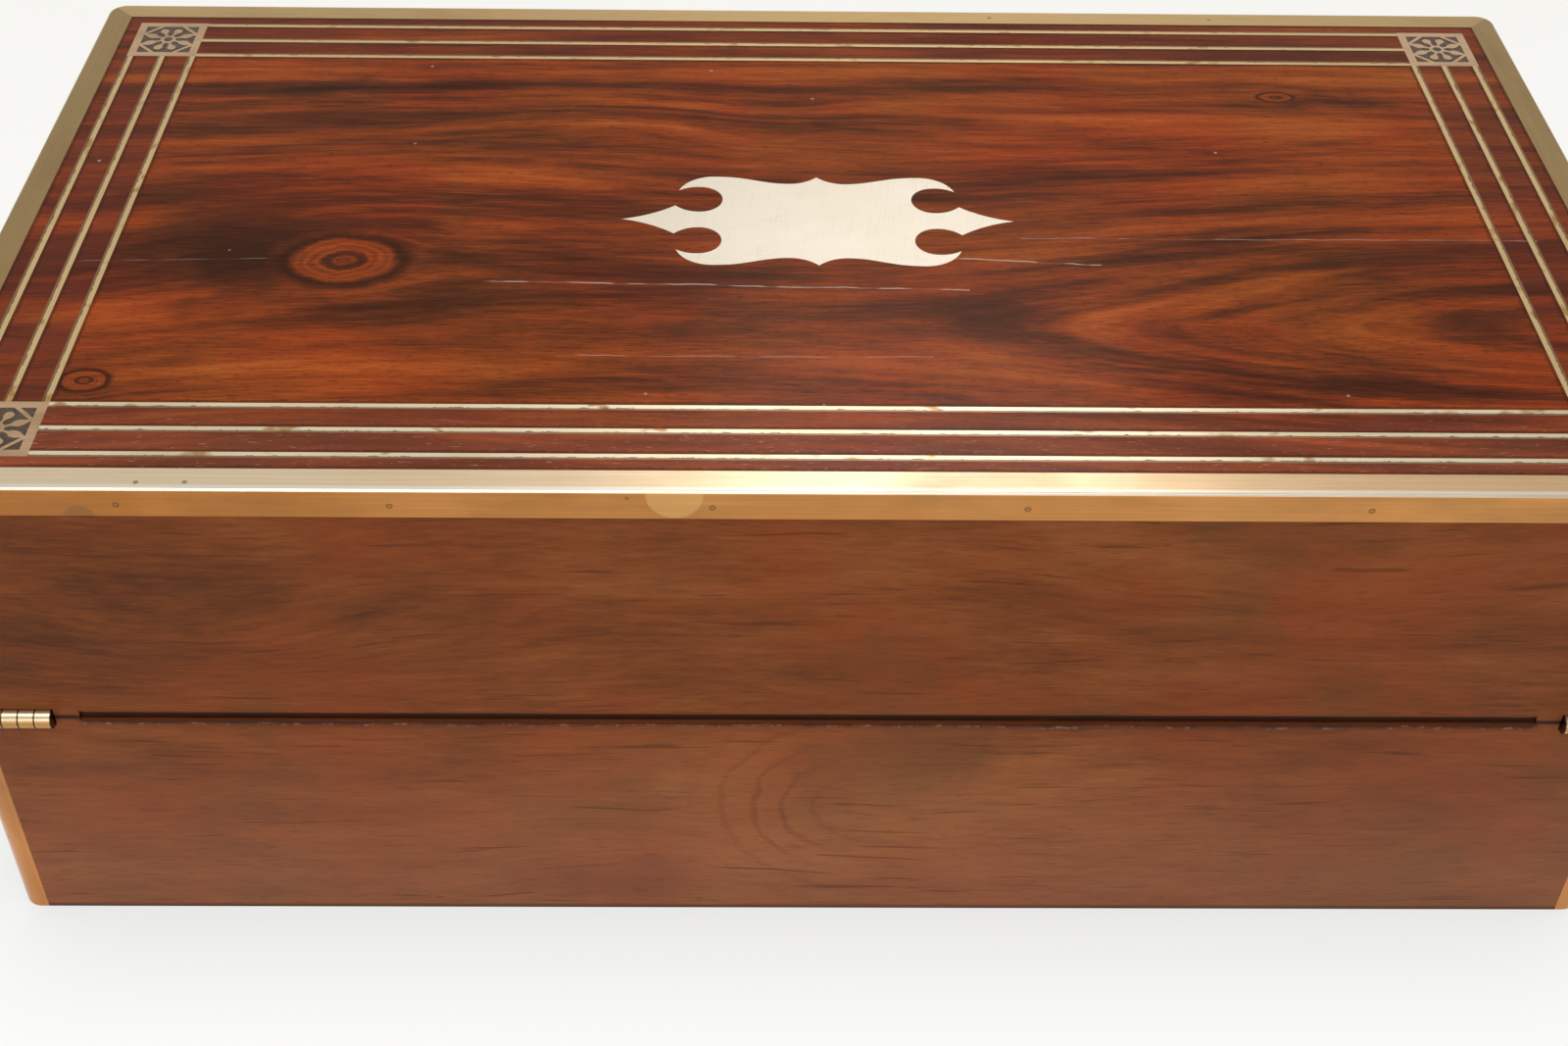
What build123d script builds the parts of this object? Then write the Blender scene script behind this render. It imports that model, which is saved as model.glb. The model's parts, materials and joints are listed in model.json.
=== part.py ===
"""Brass-bound writing slope: two wedge-shaped halves that open flat into one sloping desk.

Millimetres, +Z up. The origin is the centre of the underside. The lock is on the -Y face,
the hinges are on the +Y face, and left means -X.
"""

import os
from math import atan2, cos, radians, sin, sqrt, tan

from build123d import *

# ---------------------------------------------------------------- driving dimensions
# The closed box
box_length = 508.0
box_depth = 274.0
box_height = 178.0
front_seam_height = 125.0  # height of the base at the lock side
seam_gap = 0.3  # between the two rims when closed
corner_radius = 6.0  # of the upright corners, in plan
wall_thickness = 12.0
bottom_thickness = 8.0
bottom_lap = 5.0  # rebate in the walls for the bottom board
lid_top_thickness = 9.5

# Brass binding
brass_thickness = 1.0
edge_top_width = 9.0
edge_side_width = 9.5
edge_round = 0.9
strap_width = 8.3

# Brass inlay in the lid
inlay_depth = 0.8
string_width = 2.4
string_offsets = (14.9, 26.0, 36.7)  # centre lines, from the edge of the lid
fret_frame = 2.8
fret_bar_width = 1.2
fret_bar_end = 3.9  # where a corner bar meets the frame, from the middle of the side
fret_ring_radius = 2.7
fret_eye_radius = 1.5
fret_stem_width = 0.9
fret_leaf_width = 3.0
fret_leaf_widest = 6.4  # from the middle of the plate
fret_leaf_flank = 2.8  # from its widest place back to the end of the stem
fret_leaf_lean = 22.0  # degrees to each side of the middle line
fret_leaf_lap = 0.3  # how far a joined leaf's tip runs into the frame
name_plate_place = (-2.4, 3.5)
name_plate_length = 124.8  # from spear to spear
name_plate_width = 50.8  # from cusp to cusp

# Shallow groove along the hinge side, between the hinges
groove_end = 37.0  # from the ends of the box
groove_depth = 1.2
lid_groove_height = 2.8
base_groove_height = 1.3

# Hinges
pin_setback = 0.4  # the pin's centre stands this far behind the back face
hinge_inset = 5.0
hinge_length = 24.2
knuckle_count = 5
knuckle_gap = 0.16
barrel_diameter = 6.2
barrel_play = 0.3
hinge_pin_diameter = 2.6
running_clearance = 0.05
leaf_thickness = 1.2
leaf_width = 11.0
leaf_screw_count = 3
leaf_screw_pitch = 7.8

# Screws
screw_head_radius = 2.0
screw_shank_radius = 1.05
screw_length = 8.0
screw_slot_width = 0.6
screw_slot_depth = 0.5
countersink_angle = 82.0
screw_play = 0.04

# Writing flaps
flap_recess = 2.0  # below the rim
flap_thickness = 6.0
leather_thickness = 1.0
flap_side_play = 0.6
flap_end_play = 0.6
fold_gap = 0.5  # between rail and flap, where the leather folds
flap_seat_gap = 0.2
rail_width = 9.0
ledge_width = 7.0
ledge_thickness = 6.0
flap_edge_round = 1.0

# Gallery for pens and ink
gallery_depth = 52.0
partition_thickness = 6.0
gallery_floor_height = 58.0
gallery_floor_thickness = 5.0
divider_thickness = 5.0
divider_recess = 3.5
tray_bottom_height = 96.0
tray_height = 15.0
tray_play = 0.5
tray_margin = 7.0
scoop_depth = 9.5
scoop_end_radius = 9.0
rest_width = 5.0
rest_height = 6.0
inkwell_play = 1.0
inkwell_body_height = 36.0
inkwell_corner_radius = 6.0
inkwell_shoulder_round = 4.0
inkwell_wall = 4.0
inkwell_neck_radius = 12.0
inkwell_neck_height = 7.0
inkwell_mouth_radius = 9.0
cap_radius = 15.0
cap_height = 11.0
cap_play = 0.15
cap_round = 1.5
cap_disc_thickness = 3.0

# Lock
lock_plate_length = 64.0
lock_plate_height = 36.0
lock_plate_thickness = 1.2
lock_case_length = 50.0
lock_case_depth = 8.0
lock_case_wall = 1.0
lock_screw_inset = 3.6  # from the ends of the lock's plates
selvedge_thickness = 1.5
selvedge_width = 10.0  # flush with the inside of the wall
bolt_length = 42.0
bolt_height = 8.0
bolt_thickness = 4.0
bolt_drop = 17.5  # below the rim to the middle of the bolt's bar
bolt_play = 0.2
bolt_travel = 5.0
finger_height = 2.4
finger_thickness = 1.6
finger_riser = 3.2
link_spacing = 24.0
link_thickness = 2.2
link_width = 4.4
link_length = 9.0
link_eye_width = 2.4
link_eye_height = 3.4
link_eye_drop = 5.6
link_slot_play = 0.5
link_setback = 8.2  # from the front face to the middle of the link, at the rim
link_plate_length = 58.0
link_plate_thickness = 1.4
guide_radius = 1.8
guide_spacing = 28.0
key_post_radius = 1.1
key_drop = 24.0  # below the rim to the keyhole
keyhole_radius = 2.2
keyhole_slot_width = 2.0
keyhole_slot_length = 6.5
escutcheon_width = 16.0
escutcheon_height = 21.0
escutcheon_thickness = 1.2

# ---------------------------------------------------------------- derived geometry
half_length = box_length / 2
half_depth = box_depth / 2
inner_length = box_length - 2 * wall_thickness
inner_half_length = inner_length / 2
inner_half_depth = half_depth - wall_thickness
hinge_y = half_depth + pin_setback
hinge_z = box_height / 2  # so that the opened lid lies on the table beside the base
slope = atan2(front_seam_height - hinge_z, half_depth + hinge_y)
halves = ("base", "lid")
sides = ("front", "back", "left", "right")
plate_near = string_offsets[0] - string_width / 2
plate_far = string_offsets[-1] + string_width / 2
plate_side = plate_far - plate_near
barrel_radius = barrel_diameter / 2
hinge_pin_radius = hinge_pin_diameter / 2
knuckle_width = hinge_length / knuckle_count
flap_stack = flap_recess + leather_thickness + flap_thickness
gallery_back = -inner_half_depth + gallery_depth
partition_back = gallery_back + partition_thickness
gallery_floor_top = gallery_floor_height + gallery_floor_thickness
divider_outer = inner_half_length - gallery_depth
divider_inner = divider_outer - divider_thickness

os.makedirs("parts", exist_ok=True)


# ---------------------------------------------------------------- helpers
def save(piece, name):
    """Labels a finished piece and writes it under its own name."""
    piece.label = name
    export_step(piece, f"parts/{name}.step")


def towards_front(half):
    """Sign of the seam plane's own y axis that points to the lock side."""
    return -1 if half == "base" else 1


def seam_plane(half, depth=0.0):
    """Plane parallel to the sloping seam, facing out of a half, at a depth below its rim."""
    out = -towards_front(half)
    normal = (0, out * sin(slope), out * cos(slope))
    return Plane(origin=(0, hinge_y, hinge_z), x_dir=(1, 0, 0), z_dir=normal).offset(-seam_gap / 2 - depth)


def along_seam(half, y, depth=0.0):
    """Distance from the hinge pin, along the seam, of the point at y and at a depth below the rim."""
    rise = towards_front(half) * (seam_gap / 2 + depth)
    return (hinge_y + rise * sin(slope) - y) / cos(slope)


def rim_height(y, depth=0.0):
    """Height of the base's rim at y, or of a level at a depth below it."""
    return hinge_z + (hinge_y - y) * tan(slope) - (seam_gap / 2 + depth) / cos(slope)


def mitre_outline(side, reach):
    """Corners of the wedge that one side of the box fills between its two mitres."""
    x, y = half_length, half_depth
    outlines = {
        "front": ((-x, -y), (x, -y), (x - reach, -y + reach), (-x + reach, -y + reach)),
        "back": ((-x, y), (-x + reach, y - reach), (x - reach, y - reach), (x, y)),
        "left": ((-x, -y), (-x + reach, -y + reach), (-x + reach, y - reach), (-x, y)),
        "right": ((x, -y), (x, y), (x - reach, y - reach), (x - reach, -y + reach)),
    }
    return outlines[side]


def rod(start, end, radius, y=hinge_y, z=hinge_z):
    """Round bar along X."""
    with BuildPart() as bar:
        with BuildSketch(Plane(origin=(start, y, z), x_dir=(0, 1, 0), z_dir=(1, 0, 0))):
            Circle(radius)
        extrude(amount=end - start)
    return bar.part


def screw(place, slotted=True):
    """Countersunk wood screw whose head lies flush in the plane or location given."""
    head_height = (screw_head_radius - screw_shank_radius) / tan(radians(countersink_angle / 2))
    slot_length = 3 * screw_head_radius
    top = (Align.CENTER, Align.CENTER, Align.MAX)
    with BuildPart() as one:
        with Locations(place):
            Cylinder(screw_shank_radius, screw_length, align=top)
            Cone(screw_shank_radius, screw_head_radius, head_height, align=top)
            if slotted:
                Box(slot_length, screw_slot_width, screw_slot_depth, align=top, mode=Mode.SUBTRACT)
    return one.part


def countersink(depth):
    """Hole that a flush screw fits, cut where the builder's locations stand."""
    CounterSinkHole(
        screw_shank_radius + screw_play,
        screw_head_radius + screw_play,
        depth=depth,
        counter_sink_angle=countersink_angle,
    )


# ---------------------------------------------------------------- brass binding
def binding(rounded):
    """Angle that runs round the top of the lid; its seat in the wood is the same without the round."""
    with BuildPart() as angle:
        with BuildSketch(Plane.XY.offset(box_height)):
            RectangleRounded(box_length, box_depth, corner_radius)
        extrude(amount=-edge_side_width)
        if rounded:
            fillet(angle.faces().sort_by(Axis.Z)[-1].edges(), edge_round)
        with BuildSketch(Plane.XY.offset(box_height - brass_thickness)):
            RectangleRounded(
                box_length - 2 * brass_thickness,
                box_depth - 2 * brass_thickness,
                corner_radius - brass_thickness,
            )
        extrude(amount=brass_thickness - edge_side_width, mode=Mode.SUBTRACT)
        with BuildSketch(Plane.XY.offset(box_height)):
            Rectangle(box_length - 2 * edge_top_width, box_depth - 2 * edge_top_width)
        extrude(amount=-brass_thickness, mode=Mode.SUBTRACT)
    return angle.part


edging_seat = binding(rounded=False)
edging_ring = binding(rounded=True)

for side in sides:
    with BuildPart() as lid_edge:
        add(edging_ring)
        with BuildSketch(Plane.XY.offset(box_height)):
            Polygon(*mitre_outline(side, half_depth / 2), align=None)
        extrude(amount=-edge_side_width, mode=Mode.INTERSECT)
    save(lid_edge.part, f"lid_edge_{side}")

hinge_centres = {
    "left": -half_length + hinge_inset + hinge_length / 2,
    "right": half_length - hinge_inset - hinge_length / 2,
}
barrel_grooves = [
    rod(
        centre - hinge_length / 2 - barrel_play,
        centre + hinge_length / 2 + barrel_play,
        barrel_radius + barrel_play,
    )
    for centre in hinge_centres.values()
]


def corner_straps(half):
    """Four upright brass angles, from the foot or the top edging to the seam."""
    low = 0 if half == "base" else hinge_z - box_depth * tan(slope)
    high = box_height - edge_side_width
    with BuildPart() as straps:
        with BuildSketch(Plane.XY.offset(low)):
            with GridLocations(box_length - strap_width, box_depth - strap_width, 2, 2):
                Rectangle(strap_width, strap_width)
            RectangleRounded(box_length, box_depth, corner_radius, mode=Mode.INTERSECT)
            RectangleRounded(
                box_length - 2 * brass_thickness,
                box_depth - 2 * brass_thickness,
                corner_radius - brass_thickness,
                mode=Mode.SUBTRACT,
            )
        extrude(amount=high - low)
        split(bisect_by=seam_plane(half), keep=Keep.BOTTOM)
        for groove in barrel_grooves:
            add(groove, mode=Mode.SUBTRACT)
    return straps.part


straps = {half: corner_straps(half) for half in halves}
for half in halves:
    save(straps[half], f"{half}_corner_straps")

# ---------------------------------------------------------------- hinges
leaf_screw_line = barrel_radius + (leaf_width - barrel_radius) / 2


def leaf_screw_places(half, centre):
    """Locations of one leaf's screws, on the face that shows when the slope is open."""
    plane = seam_plane(half)
    first = centre - leaf_screw_pitch * (leaf_screw_count - 1) / 2
    return [
        plane.location * Location((first + leaf_screw_pitch * i, towards_front(half) * leaf_screw_line, 0))
        for i in range(leaf_screw_count)
    ]


def hinge_leaf(half, centre):
    """Leaf let into a rim, with every other knuckle of the barrel."""
    start = centre - hinge_length / 2
    with BuildPart() as leaf:
        with BuildSketch(seam_plane(half)):
            with Locations((centre, towards_front(half) * leaf_width / 2)):
                Rectangle(hinge_length, leaf_width)
        extrude(amount=-leaf_thickness)
        for i in range(knuckle_count):
            near = start + i * knuckle_width
            far = near + knuckle_width
            own = (i % 2 == 0) == (half == "base")
            if own:
                inner_near = near + (knuckle_gap / 2 if i else 0)
                inner_far = far - (knuckle_gap / 2 if i < knuckle_count - 1 else 0)
                add(rod(inner_near, inner_far, barrel_radius))
            else:
                room = rod(near - knuckle_gap / 2, far + knuckle_gap / 2, barrel_radius + barrel_play)
                add(room, mode=Mode.SUBTRACT)
        add(rod(start, start + hinge_length, hinge_pin_radius + running_clearance), mode=Mode.SUBTRACT)
        with Locations(*leaf_screw_places(half, centre)):
            countersink(leaf_thickness)
    return leaf.part


leaf_mortises = {}
leaf_screws = {}
for half in halves:
    with BuildPart() as mortises:
        with BuildSketch(seam_plane(half)):
            for centre in hinge_centres.values():
                with Locations((centre, towards_front(half) * leaf_width / 2)):
                    Rectangle(hinge_length, leaf_width)
        extrude(amount=-leaf_thickness)
        for groove in barrel_grooves:
            add(groove)
    leaf_mortises[half] = mortises.part
    places = [place for centre in hinge_centres.values() for place in leaf_screw_places(half, centre)]
    leaf_screws[half] = [screw(place, slotted=False) for place in places]
    save(Compound(children=[screw(place) for place in places]), f"hinge_{half}_screws")
    for hand, centre in hinge_centres.items():
        save(hinge_leaf(half, centre), f"{hand}_hinge_{half}_leaf")

for hand, centre in hinge_centres.items():
    save(rod(centre - hinge_length / 2, centre + hinge_length / 2, hinge_pin_radius), f"{hand}_hinge_pin")

# ---------------------------------------------------------------- lock
selvedge_line = along_seam("base", -inner_half_depth - selvedge_width / 2)
lock_back_y = -inner_half_depth
lock_top = rim_height(-half_depth)
lock_foot = rim_height(-inner_half_depth) - lock_plate_height
link_xs = (-link_spacing / 2, link_spacing / 2)
link_line = along_seam("base", -half_depth + link_setback)
bolt_z = rim_height(-half_depth + wall_thickness / 2) - bolt_drop
eye_height = rim_height(-half_depth + link_setback, link_eye_drop)
eye_y = -half_depth + link_setback - link_eye_drop * sin(slope)
key_height = rim_height(-half_depth) - key_drop
guide_xs = (-guide_spacing / 2, guide_spacing / 2)
finger_roots = [x - link_thickness / 2 - link_slot_play - bolt_travel for x in link_xs]
inside_plate_y = lock_back_y - lock_plate_thickness
bolt_front_y = inside_plate_y - bolt_play - bolt_thickness
link_rim = rim_height(-half_depth + link_setback)

selvedge_screw_places = [
    seam_plane("base").location * Location((x, -selvedge_line, 0))
    for x in (lock_screw_inset - lock_plate_length / 2, lock_plate_length / 2 - lock_screw_inset)
]
plate_screw_places = [
    Location(Plane(origin=(x, lock_back_y, lock_foot + lock_screw_inset), x_dir=(1, 0, 0), z_dir=(0, 1, 0)))
    for x in (lock_screw_inset - lock_plate_length / 2, lock_plate_length / 2 - lock_screw_inset)
]

with BuildPart() as lock_envelope:
    with BuildSketch(Plane.XY.offset(lock_foot)):
        with Locations((0, lock_back_y)):
            Rectangle(lock_plate_length, lock_plate_thickness, align=(Align.CENTER, Align.MAX))
            Rectangle(lock_case_length, lock_case_depth, align=(Align.CENTER, Align.MAX))
    extrude(amount=lock_top - lock_foot)
    split(bisect_by=seam_plane("base", selvedge_thickness), keep=Keep.BOTTOM)
    with BuildSketch(seam_plane("base")):
        with Locations((0, -selvedge_line)):
            Rectangle(lock_plate_length, selvedge_width)
    extrude(amount=-selvedge_thickness)

with BuildPart() as lock_case:
    add(lock_envelope.part)
    with BuildSketch(Plane.XY.offset(lock_foot + lock_case_wall)):
        with Locations((0, inside_plate_y)):
            Rectangle(
                lock_case_length - 2 * lock_case_wall,
                lock_case_depth - lock_plate_thickness,
                align=(Align.CENTER, Align.MAX),
            )
    cavity = extrude(amount=lock_top - lock_foot, mode=Mode.PRIVATE)
    under_selvedge = seam_plane("base", selvedge_thickness)
    add(
        split(cavity, bisect_by=under_selvedge, keep=Keep.BOTTOM, mode=Mode.PRIVATE),
        mode=Mode.SUBTRACT,
    )
    with BuildSketch(seam_plane("base")):
        for x in link_xs:
            with Locations((x, -link_line)):
                Rectangle(link_thickness + 2 * link_slot_play, link_width + 2 * link_slot_play)
    extrude(amount=-selvedge_thickness, mode=Mode.SUBTRACT)
    with BuildSketch(Plane.XZ.offset(-inside_plate_y)):
        with Locations(*[(x, bolt_z) for x in guide_xs]):
            Circle(guide_radius)
    extrude(amount=bolt_play + bolt_thickness)
    with BuildSketch(Plane.XZ.offset(-inside_plate_y)):
        with Locations((0, key_height)):
            Circle(key_post_radius)
    extrude(amount=lock_case_depth - lock_plate_thickness)
    with Locations(*selvedge_screw_places):
        countersink(selvedge_thickness)
    with Locations(*plate_screw_places):
        countersink(lock_plate_thickness)
save(lock_case.part, "lock_case")

with BuildPart() as lock_bolt:
    with BuildSketch(Plane.XZ.offset(-bolt_front_y)):
        with Locations((-bolt_travel / 2, bolt_z)):
            Rectangle(bolt_length, bolt_height)
        with Locations(*[(x, bolt_z) for x in finger_roots]):
            riser_height = eye_height + finger_height / 2 - bolt_z
            Rectangle(finger_riser, riser_height, align=(Align.MAX, Align.MIN))
        with Locations(*[(x - bolt_travel / 2, bolt_z) for x in guide_xs]):
            SlotCenterToCenter(bolt_travel, 2 * (guide_radius + bolt_play), mode=Mode.SUBTRACT)
        with Locations((0, bolt_z - bolt_height / 2)):
            Circle(bolt_height / 4, mode=Mode.SUBTRACT)
    extrude(amount=-bolt_thickness)
    with BuildSketch(Plane.XZ.offset(-eye_y - finger_thickness / 2)):
        with Locations(*[(x - finger_riser, eye_height) for x in finger_roots]):
            Rectangle(finger_riser + bolt_travel, finger_height, align=(Align.MIN, Align.CENTER))
    extrude(amount=finger_thickness)
save(lock_bolt.part, "lock_bolt")

# Screws that hold the lock
lock_screw_places = selvedge_screw_places + plate_screw_places
save(Compound(children=[screw(place) for place in lock_screw_places]), "lock_screws")

# Link plate on the lid, with two links that drop through the selvedge
link_plate_line = along_seam("lid", -inner_half_depth - selvedge_width / 2)
link_plate_screw_places = [
    seam_plane("lid").location * Location((x, link_plate_line, 0))
    for x in (0, lock_screw_inset - link_plate_length / 2, link_plate_length / 2 - lock_screw_inset)
]
with BuildPart() as link_plate_seat:
    with BuildSketch(seam_plane("lid")):
        with Locations((0, link_plate_line)):
            Rectangle(link_plate_length, selvedge_width)
    extrude(amount=-link_plate_thickness)

with BuildPart() as lock_link_plate:
    add(link_plate_seat.part)
    for x in link_xs:
        link_face = Plane(
            origin=(x - link_thickness / 2, -half_depth + link_setback, link_rim),
            x_dir=(0, cos(slope), -sin(slope)),
            z_dir=(1, 0, 0),
        )
        with BuildSketch(link_face):
            with Locations((0, seam_gap + link_plate_thickness / 2)):
                Rectangle(
                    link_width,
                    link_length + link_plate_thickness / 2,
                    align=(Align.CENTER, Align.MAX),
                )
            with Locations((0, -link_eye_drop)):
                Rectangle(link_eye_width, link_eye_height, mode=Mode.SUBTRACT)
        extrude(amount=link_thickness)
    with Locations(*link_plate_screw_places):
        countersink(link_plate_thickness)
save(lock_link_plate.part, "lock_link_plate")
save(Compound(children=[screw(place) for place in link_plate_screw_places]), "link_plate_screws")


front_key_face = Plane(origin=(0, -half_depth, key_height), x_dir=(1, 0, 0), z_dir=(0, -1, 0))
with BuildSketch() as keyhole_outline:
    Circle(keyhole_radius)
    Rectangle(keyhole_slot_width, keyhole_slot_length, align=(Align.CENTER, Align.MAX))

with BuildPart() as escutcheon_seat:
    with BuildSketch(front_key_face):
        Ellipse(escutcheon_width / 2, escutcheon_height / 2)
    extrude(amount=-escutcheon_thickness)
with BuildPart() as keyhole_escutcheon:
    add(escutcheon_seat.part)
    with BuildSketch(front_key_face):
        add(keyhole_outline.sketch)
    extrude(amount=-escutcheon_thickness, mode=Mode.SUBTRACT)
save(keyhole_escutcheon.part, "keyhole_escutcheon")

# ---------------------------------------------------------------- carcass of the base
with BuildPart() as base_bottom_board:
    with BuildSketch():
        Rectangle(inner_length + 2 * bottom_lap, 2 * inner_half_depth + 2 * bottom_lap)
    extrude(amount=bottom_thickness)
save(base_bottom_board.part, "base_bottom_board")


def wall_board(side, half):
    """One mitred board of a half's carcass, cut to the sloping seam and to the brass let into it."""
    low = 0 if half == "base" else hinge_z - box_depth * tan(slope)
    high = box_height - lid_top_thickness
    with BuildPart() as board:
        with BuildSketch(Plane.XY.offset(low)):
            RectangleRounded(box_length, box_depth, corner_radius)
            Rectangle(inner_length, 2 * inner_half_depth, mode=Mode.SUBTRACT)
            Polygon(*mitre_outline(side, half_depth / 2), align=None, mode=Mode.INTERSECT)
        extrude(amount=high - low)
        split(bisect_by=seam_plane(half), keep=Keep.BOTTOM)
        add(straps[half], mode=Mode.SUBTRACT)
        add(leaf_mortises[half], mode=Mode.SUBTRACT)
        if half == "base":
            add(base_bottom_board.part, mode=Mode.SUBTRACT)
        if half == "lid":
            add(edging_seat, mode=Mode.SUBTRACT)
        if side == "back":
            for one in leaf_screws[half]:
                add(one, mode=Mode.SUBTRACT)
            height = base_groove_height if half == "base" else lid_groove_height
            with BuildSketch(Plane.XZ.offset(-half_depth)):
                with Locations((0, hinge_z)):
                    Rectangle(box_length - 2 * groove_end, 2 * height)
            extrude(amount=groove_depth, mode=Mode.SUBTRACT)
    return board.part


for side in sides[1:]:
    save(wall_board(side, "base"), f"base_{side}_wall")

with BuildPart() as base_front_wall:
    add(wall_board("front", "base"))
    add(lock_envelope.part, mode=Mode.SUBTRACT)
    add(escutcheon_seat.part, mode=Mode.SUBTRACT)
    for place in lock_screw_places:
        add(screw(place, slotted=False), mode=Mode.SUBTRACT)
    with BuildSketch(front_key_face):
        add(keyhole_outline.sketch)
    extrude(amount=lock_case_depth - wall_thickness, mode=Mode.SUBTRACT)
save(base_front_wall.part, "base_front_wall")

# ---------------------------------------------------------------- carcass of the lid
for side in sides[1:]:
    save(wall_board(side, "lid"), f"lid_{side}_wall")

with BuildPart() as lid_front_wall:
    add(wall_board("front", "lid"))
    add(link_plate_seat.part, mode=Mode.SUBTRACT)
    for place in link_plate_screw_places:
        add(screw(place, slotted=False), mode=Mode.SUBTRACT)
save(lid_front_wall.part, "lid_front_wall")

# ---------------------------------------------------------------- brass inlay in the lid
inlay_face = Plane.XY.offset(box_height)
plate_centre_x = half_length - (plate_near + plate_far) / 2
plate_centre_y = half_depth - (plate_near + plate_far) / 2
plate_corners = {
    "front_left": (-plate_centre_x, -plate_centre_y),
    "front_right": (plate_centre_x, -plate_centre_y),
    "back_left": (-plate_centre_x, plate_centre_y),
    "back_right": (plate_centre_x, plate_centre_y),
}


def string_lines(side):
    """The three brass lines that run between two corner plates."""
    along_x = side in ("front", "back")
    sign = -1 if side in ("front", "left") else 1
    with BuildPart() as lines:
        with BuildSketch(inlay_face):
            for offset in string_offsets:
                if along_x:
                    with Locations((0, sign * (half_depth - offset))):
                        Rectangle(box_length - 2 * plate_far, string_width)
                else:
                    with Locations((sign * (half_length - offset), 0)):
                        Rectangle(string_width, box_depth - 2 * plate_far)
        extrude(amount=-inlay_depth)
    return lines.part


stringing = {side: string_lines(side) for side in sides}
for side in sides:
    save(stringing[side], f"stringing_{side}")

fret_window = plate_side / 2 - fret_frame
leaf_tip = fret_window / cos(radians(fret_leaf_lean)) + fret_leaf_lap


def fret_leaf(joined):
    """Club-shaped leaf on a thin stem, joined to the frame by its tip or free with a round end."""
    stem, widest = fret_stem_width / 2, fret_leaf_width / 2
    stem_end = fret_leaf_widest - fret_leaf_flank
    flank_middle = fret_leaf_widest - fret_leaf_flank / 2
    neck_middle = (fret_leaf_widest + leaf_tip) / 2
    round_end = fret_leaf_widest + widest
    with BuildSketch() as leaf:
        with BuildLine():
            Polyline((0, 0), (0, stem), (stem_end, stem))
            Bezier(
                (stem_end, stem),
                (flank_middle, stem),
                (flank_middle, widest),
                (fret_leaf_widest, widest),
            )
            if joined:
                Bezier(
                    (fret_leaf_widest, widest),
                    (neck_middle, widest),
                    (neck_middle, stem),
                    (leaf_tip, stem),
                )
                Polyline((leaf_tip, stem), (leaf_tip, 0), (0, 0))
            else:
                RadiusArc((fret_leaf_widest, widest), (round_end, 0), widest)
                Line((round_end, 0), (0, 0))
        make_face()
        mirror(about=Plane.XZ)
    return leaf.sketch


with BuildSketch() as fretwork:
    Rectangle(plate_side, plate_side)
    Rectangle(2 * fret_window, 2 * fret_window, mode=Mode.SUBTRACT)
    with PolarLocations((fret_window + fret_bar_end) / sqrt(2), 4, start_angle=45):
        Rectangle(fret_bar_width, sqrt(2) * (fret_window - fret_bar_end) + fret_bar_width)
    for lean in (-fret_leaf_lean, fret_leaf_lean):
        with PolarLocations(0, 2, start_angle=lean):
            add(fret_leaf(joined=True))
        with PolarLocations(0, 2, start_angle=90 + lean):
            add(fret_leaf(joined=False))
    Circle(fret_ring_radius)
    Circle(fret_eye_radius, mode=Mode.SUBTRACT)

for corner, place in plate_corners.items():
    with BuildPart() as corner_plate:
        with BuildSketch(inlay_face):
            with Locations(place):
                add(fretwork.sketch)
        extrude(amount=-inlay_depth)
    save(corner_plate.part, f"corner_plate_{corner}")

# One quarter of the name plate: spear, round bite, horn, shoulder, waist and cusp


def on_plate(along, across):
    """Point of the name plate's outline, in shares of its half length and half width."""
    return (along * name_plate_length / 2, across * name_plate_width / 2)


spear_tip = on_plate(1, 0)
barb = on_plate(0.729, 0.319)
neck = on_plate(0.603, 0.177)
bite_top = on_plate(0.599, 0.752)
horn_tip = on_plate(0.715, 0.669)
shoulder = on_plate(0.513, 1)
waist = on_plate(0.144, 0.839)
cusp = on_plate(0, 1)
with BuildSketch() as name_plate_outline:
    with BuildLine():
        ThreePointArc(spear_tip, on_plate(0.854, 0.122), barb)
        ThreePointArc(barb, on_plate(0.67, 0.209), neck)
        ThreePointArc(neck, on_plate(0.487, 0.465), bite_top)
        ThreePointArc(bite_top, on_plate(0.663, 0.736), horn_tip)
        ThreePointArc(horn_tip, on_plate(0.638, 0.921), shoulder)
        Bezier(shoulder, on_plate(0.353, 1), on_plate(0.288, 0.839), waist)
        ThreePointArc(waist, on_plate(0.062, 0.886), cusp)
        Line(cusp, (0, 0))
        Line((0, 0), spear_tip)
    make_face()
    mirror(about=Plane.YZ)
    mirror(about=Plane.XZ)

with BuildPart() as name_plate:
    with BuildSketch(inlay_face):
        with Locations(name_plate_place):
            add(name_plate_outline.sketch)
    extrude(amount=-inlay_depth)
save(name_plate.part, "name_plate")

with BuildPart() as lid_top_board:
    with BuildSketch(Plane.XY.offset(box_height - lid_top_thickness)):
        RectangleRounded(box_length, box_depth, corner_radius)
    extrude(amount=lid_top_thickness)
    add(edging_seat, mode=Mode.SUBTRACT)
    add(name_plate.part, mode=Mode.SUBTRACT)
    for side in sides:
        add(stringing[side], mode=Mode.SUBTRACT)
    with BuildSketch(inlay_face):
        with Locations(*plate_corners.values()):
            Rectangle(plate_side, plate_side)
    extrude(amount=-inlay_depth, mode=Mode.SUBTRACT)
save(lid_top_board.part, "lid_top_board")

# ---------------------------------------------------------------- writing flaps
flap_length_x = inner_length - 2 * flap_side_play
rail_edge = along_seam("base", inner_half_depth) + rail_width
flap_near = rail_edge + fold_gap
flap_far = {
    "base": along_seam("base", gallery_back + flap_end_play, flap_stack),
    "lid": along_seam("lid", -inner_half_depth + flap_end_play, flap_recess),
}
ledge_depth = flap_stack + flap_seat_gap
ledge_front = {"base": partition_back, "lid": -inner_half_depth}


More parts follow.
